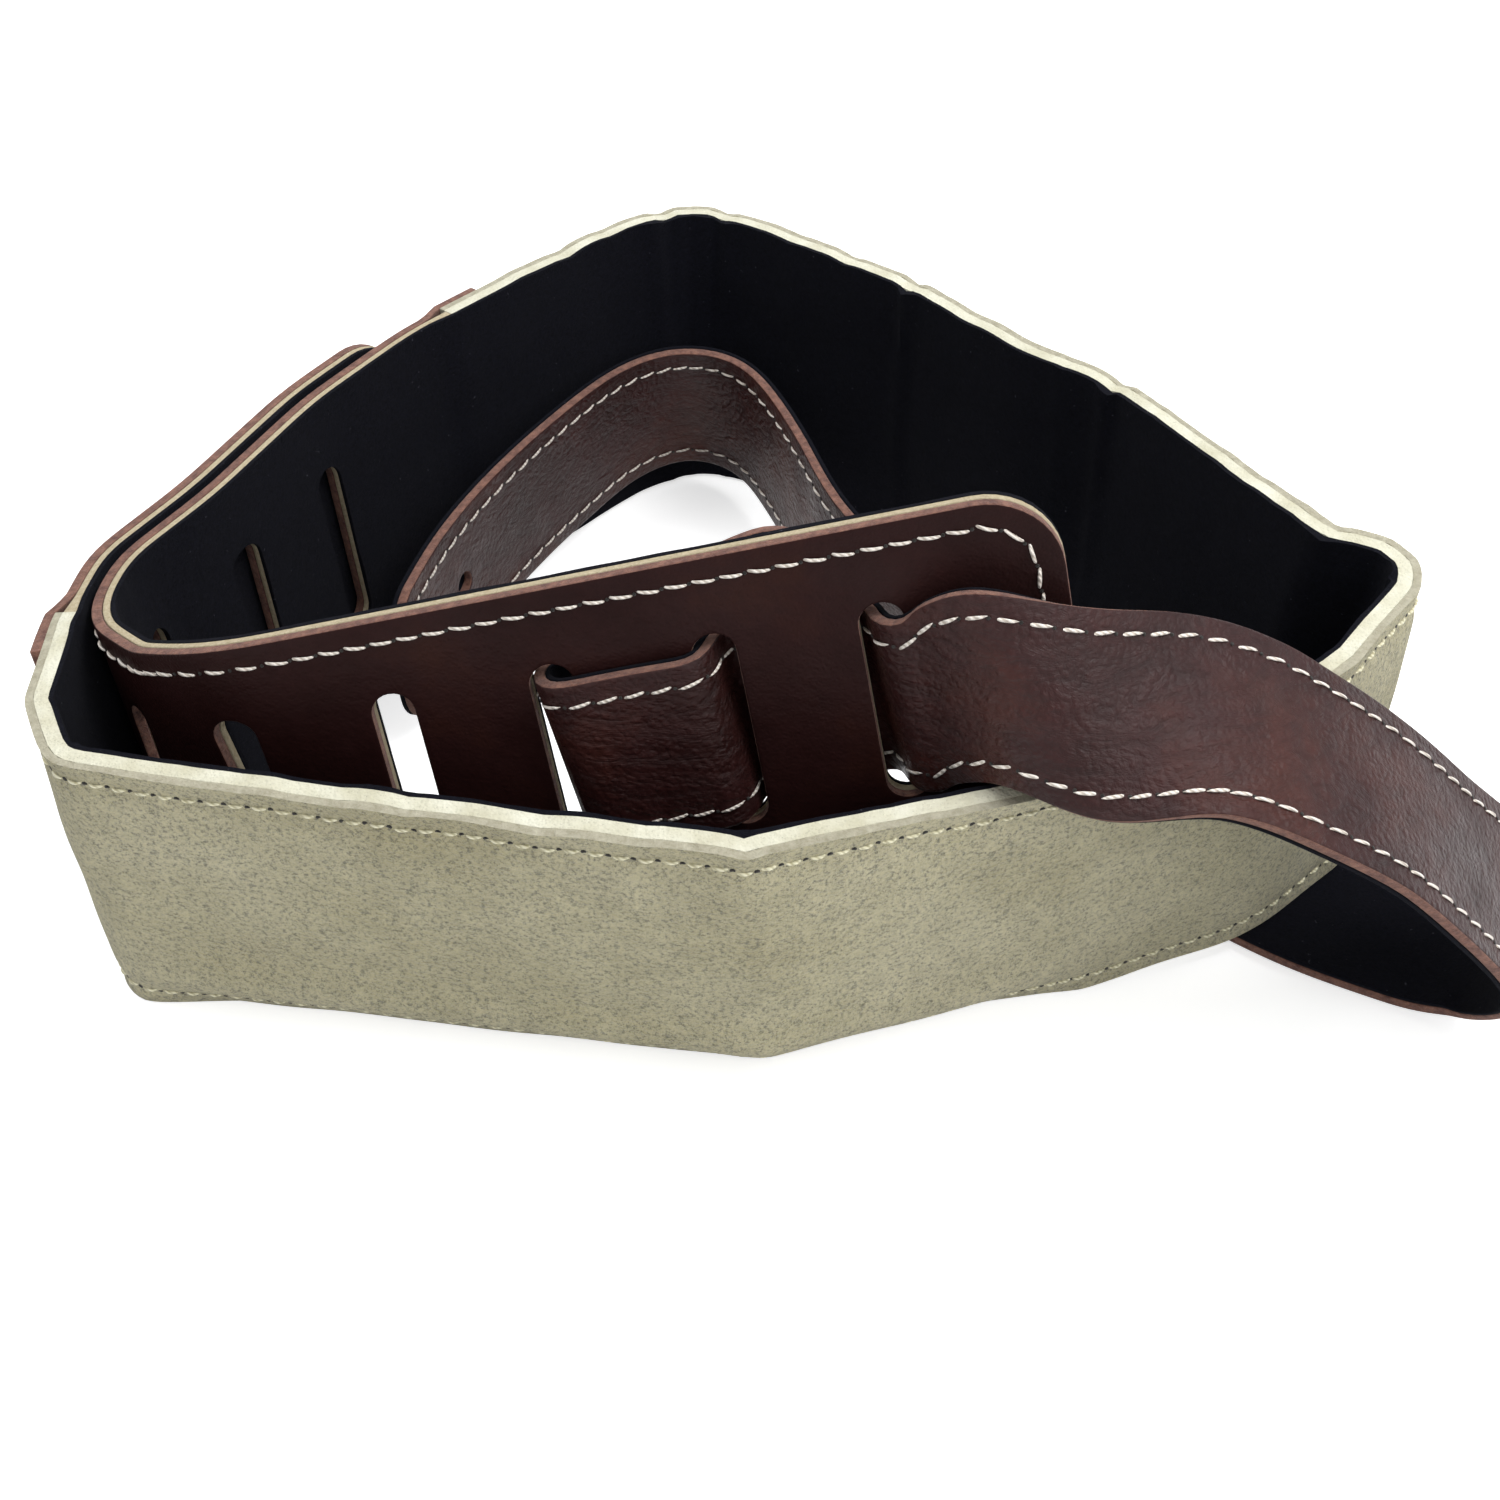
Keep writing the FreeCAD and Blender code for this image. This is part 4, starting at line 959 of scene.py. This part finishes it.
def seen_rays(tree):
    """1 for the rays that show the background itself, and 0 for those that light the object."""
    rays = tree.nodes.new("ShaderNodeLightPath").outputs
    seen = rays["Is Camera Ray"]
    for other in ("Is Glossy Ray", "Is Transmission Ray"):
        both = tree.nodes.new("ShaderNodeMath")
        tree.links.new(seen, both.inputs[0])
        tree.links.new(rays[other], both.inputs[1])
        seen = both.outputs[0]
    return seen


FLOOR_GLOW, WORLD_LIGHT, WORLD_SEEN = 0.62, 0.55, 1.05


def floor_material():
    look = Look("pale_floor", 0.9, 0.0)
    look.base(look.ramp(look.noise(3.0, 2.0), (0.3, 0.80), (0.7, 0.84)))
    dim = look.node("ShaderNodeMath", operation="MULTIPLY")
    dim.inputs[1].default_value = FLOOR_GLOW
    look.link(seen_rays(look.tree), dim.inputs[0])
    look.shader.inputs["Emission Color"].default_value = (1.0, 1.0, 1.0, 1.0)
    look.link(dim.outputs[0], look.shader.inputs["Emission Strength"])
    return look.material


FLOOR_SIZE = 6000.0
corners = [(-1, -1), (1, -1), (1, 1), (-1, 1)]
floor = new_piece("floor", [(x * FLOOR_SIZE, y * FLOOR_SIZE, -0.3) for x, y in corners], [(0, 1, 2, 3)],
                  (floor_material(),), [0], False)

world = bpy.data.worlds.new("studio")
world.use_nodes = True
background = world.node_tree.nodes["Background"]
background.inputs["Color"].default_value = (0.96, 0.98, 1.0, 1.0)
# White where it is seen, and dimmer where it only lights the object.
level_of_light = world.node_tree.nodes.new("ShaderNodeMath")
level_of_light.operation = "MULTIPLY_ADD"
level_of_light.inputs[1].default_value = WORLD_SEEN - WORLD_LIGHT
level_of_light.inputs[2].default_value = WORLD_LIGHT
world.node_tree.links.new(seen_rays(world.node_tree), level_of_light.inputs[0])
world.node_tree.links.new(level_of_light.outputs[0], background.inputs["Strength"])
bpy.context.scene.world = world


def lamp(name, place, aim, size, power):
    data = bpy.data.lights.new(name, "AREA")
    data.shape = "SQUARE"
    data.size = size
    data.energy = power
    made = bpy.data.objects.new(name, data)
    made.location = place
    made.rotation_euler = (Vector(aim) - Vector(place)).to_track_quat("-Z", "Y").to_euler()
    bpy.context.scene.collection.objects.link(made)


lamp("key_light", (-0.5, 0.45, 1.5), (0.0, 0.0, 0.0), 0.9, 15.0)
lamp("fill_light", (0.9, -0.9, 1.1), (0.0, 0.0, 0.05), 1.2, 8.0)
lamp("top_light", (0.42, -0.10, 0.80), (0.12, -0.08, 0.07), 0.34, 3.4)

CAMERA_PITCH = 45.0
camera_data = bpy.data.cameras.new("camera")
camera_data.lens = 48.0
camera_data.sensor_width = 36.0
camera_data.clip_end = 20.0
camera = bpy.data.objects.new("camera", camera_data)
camera.location = (-0.01416, -0.34646, 0.337)
camera.rotation_euler = (math.radians(CAMERA_PITCH), 0.0, 0.0)
bpy.context.scene.collection.objects.link(camera)
bpy.context.scene.camera = camera
bpy.context.scene.view_settings.view_transform = "Standard"
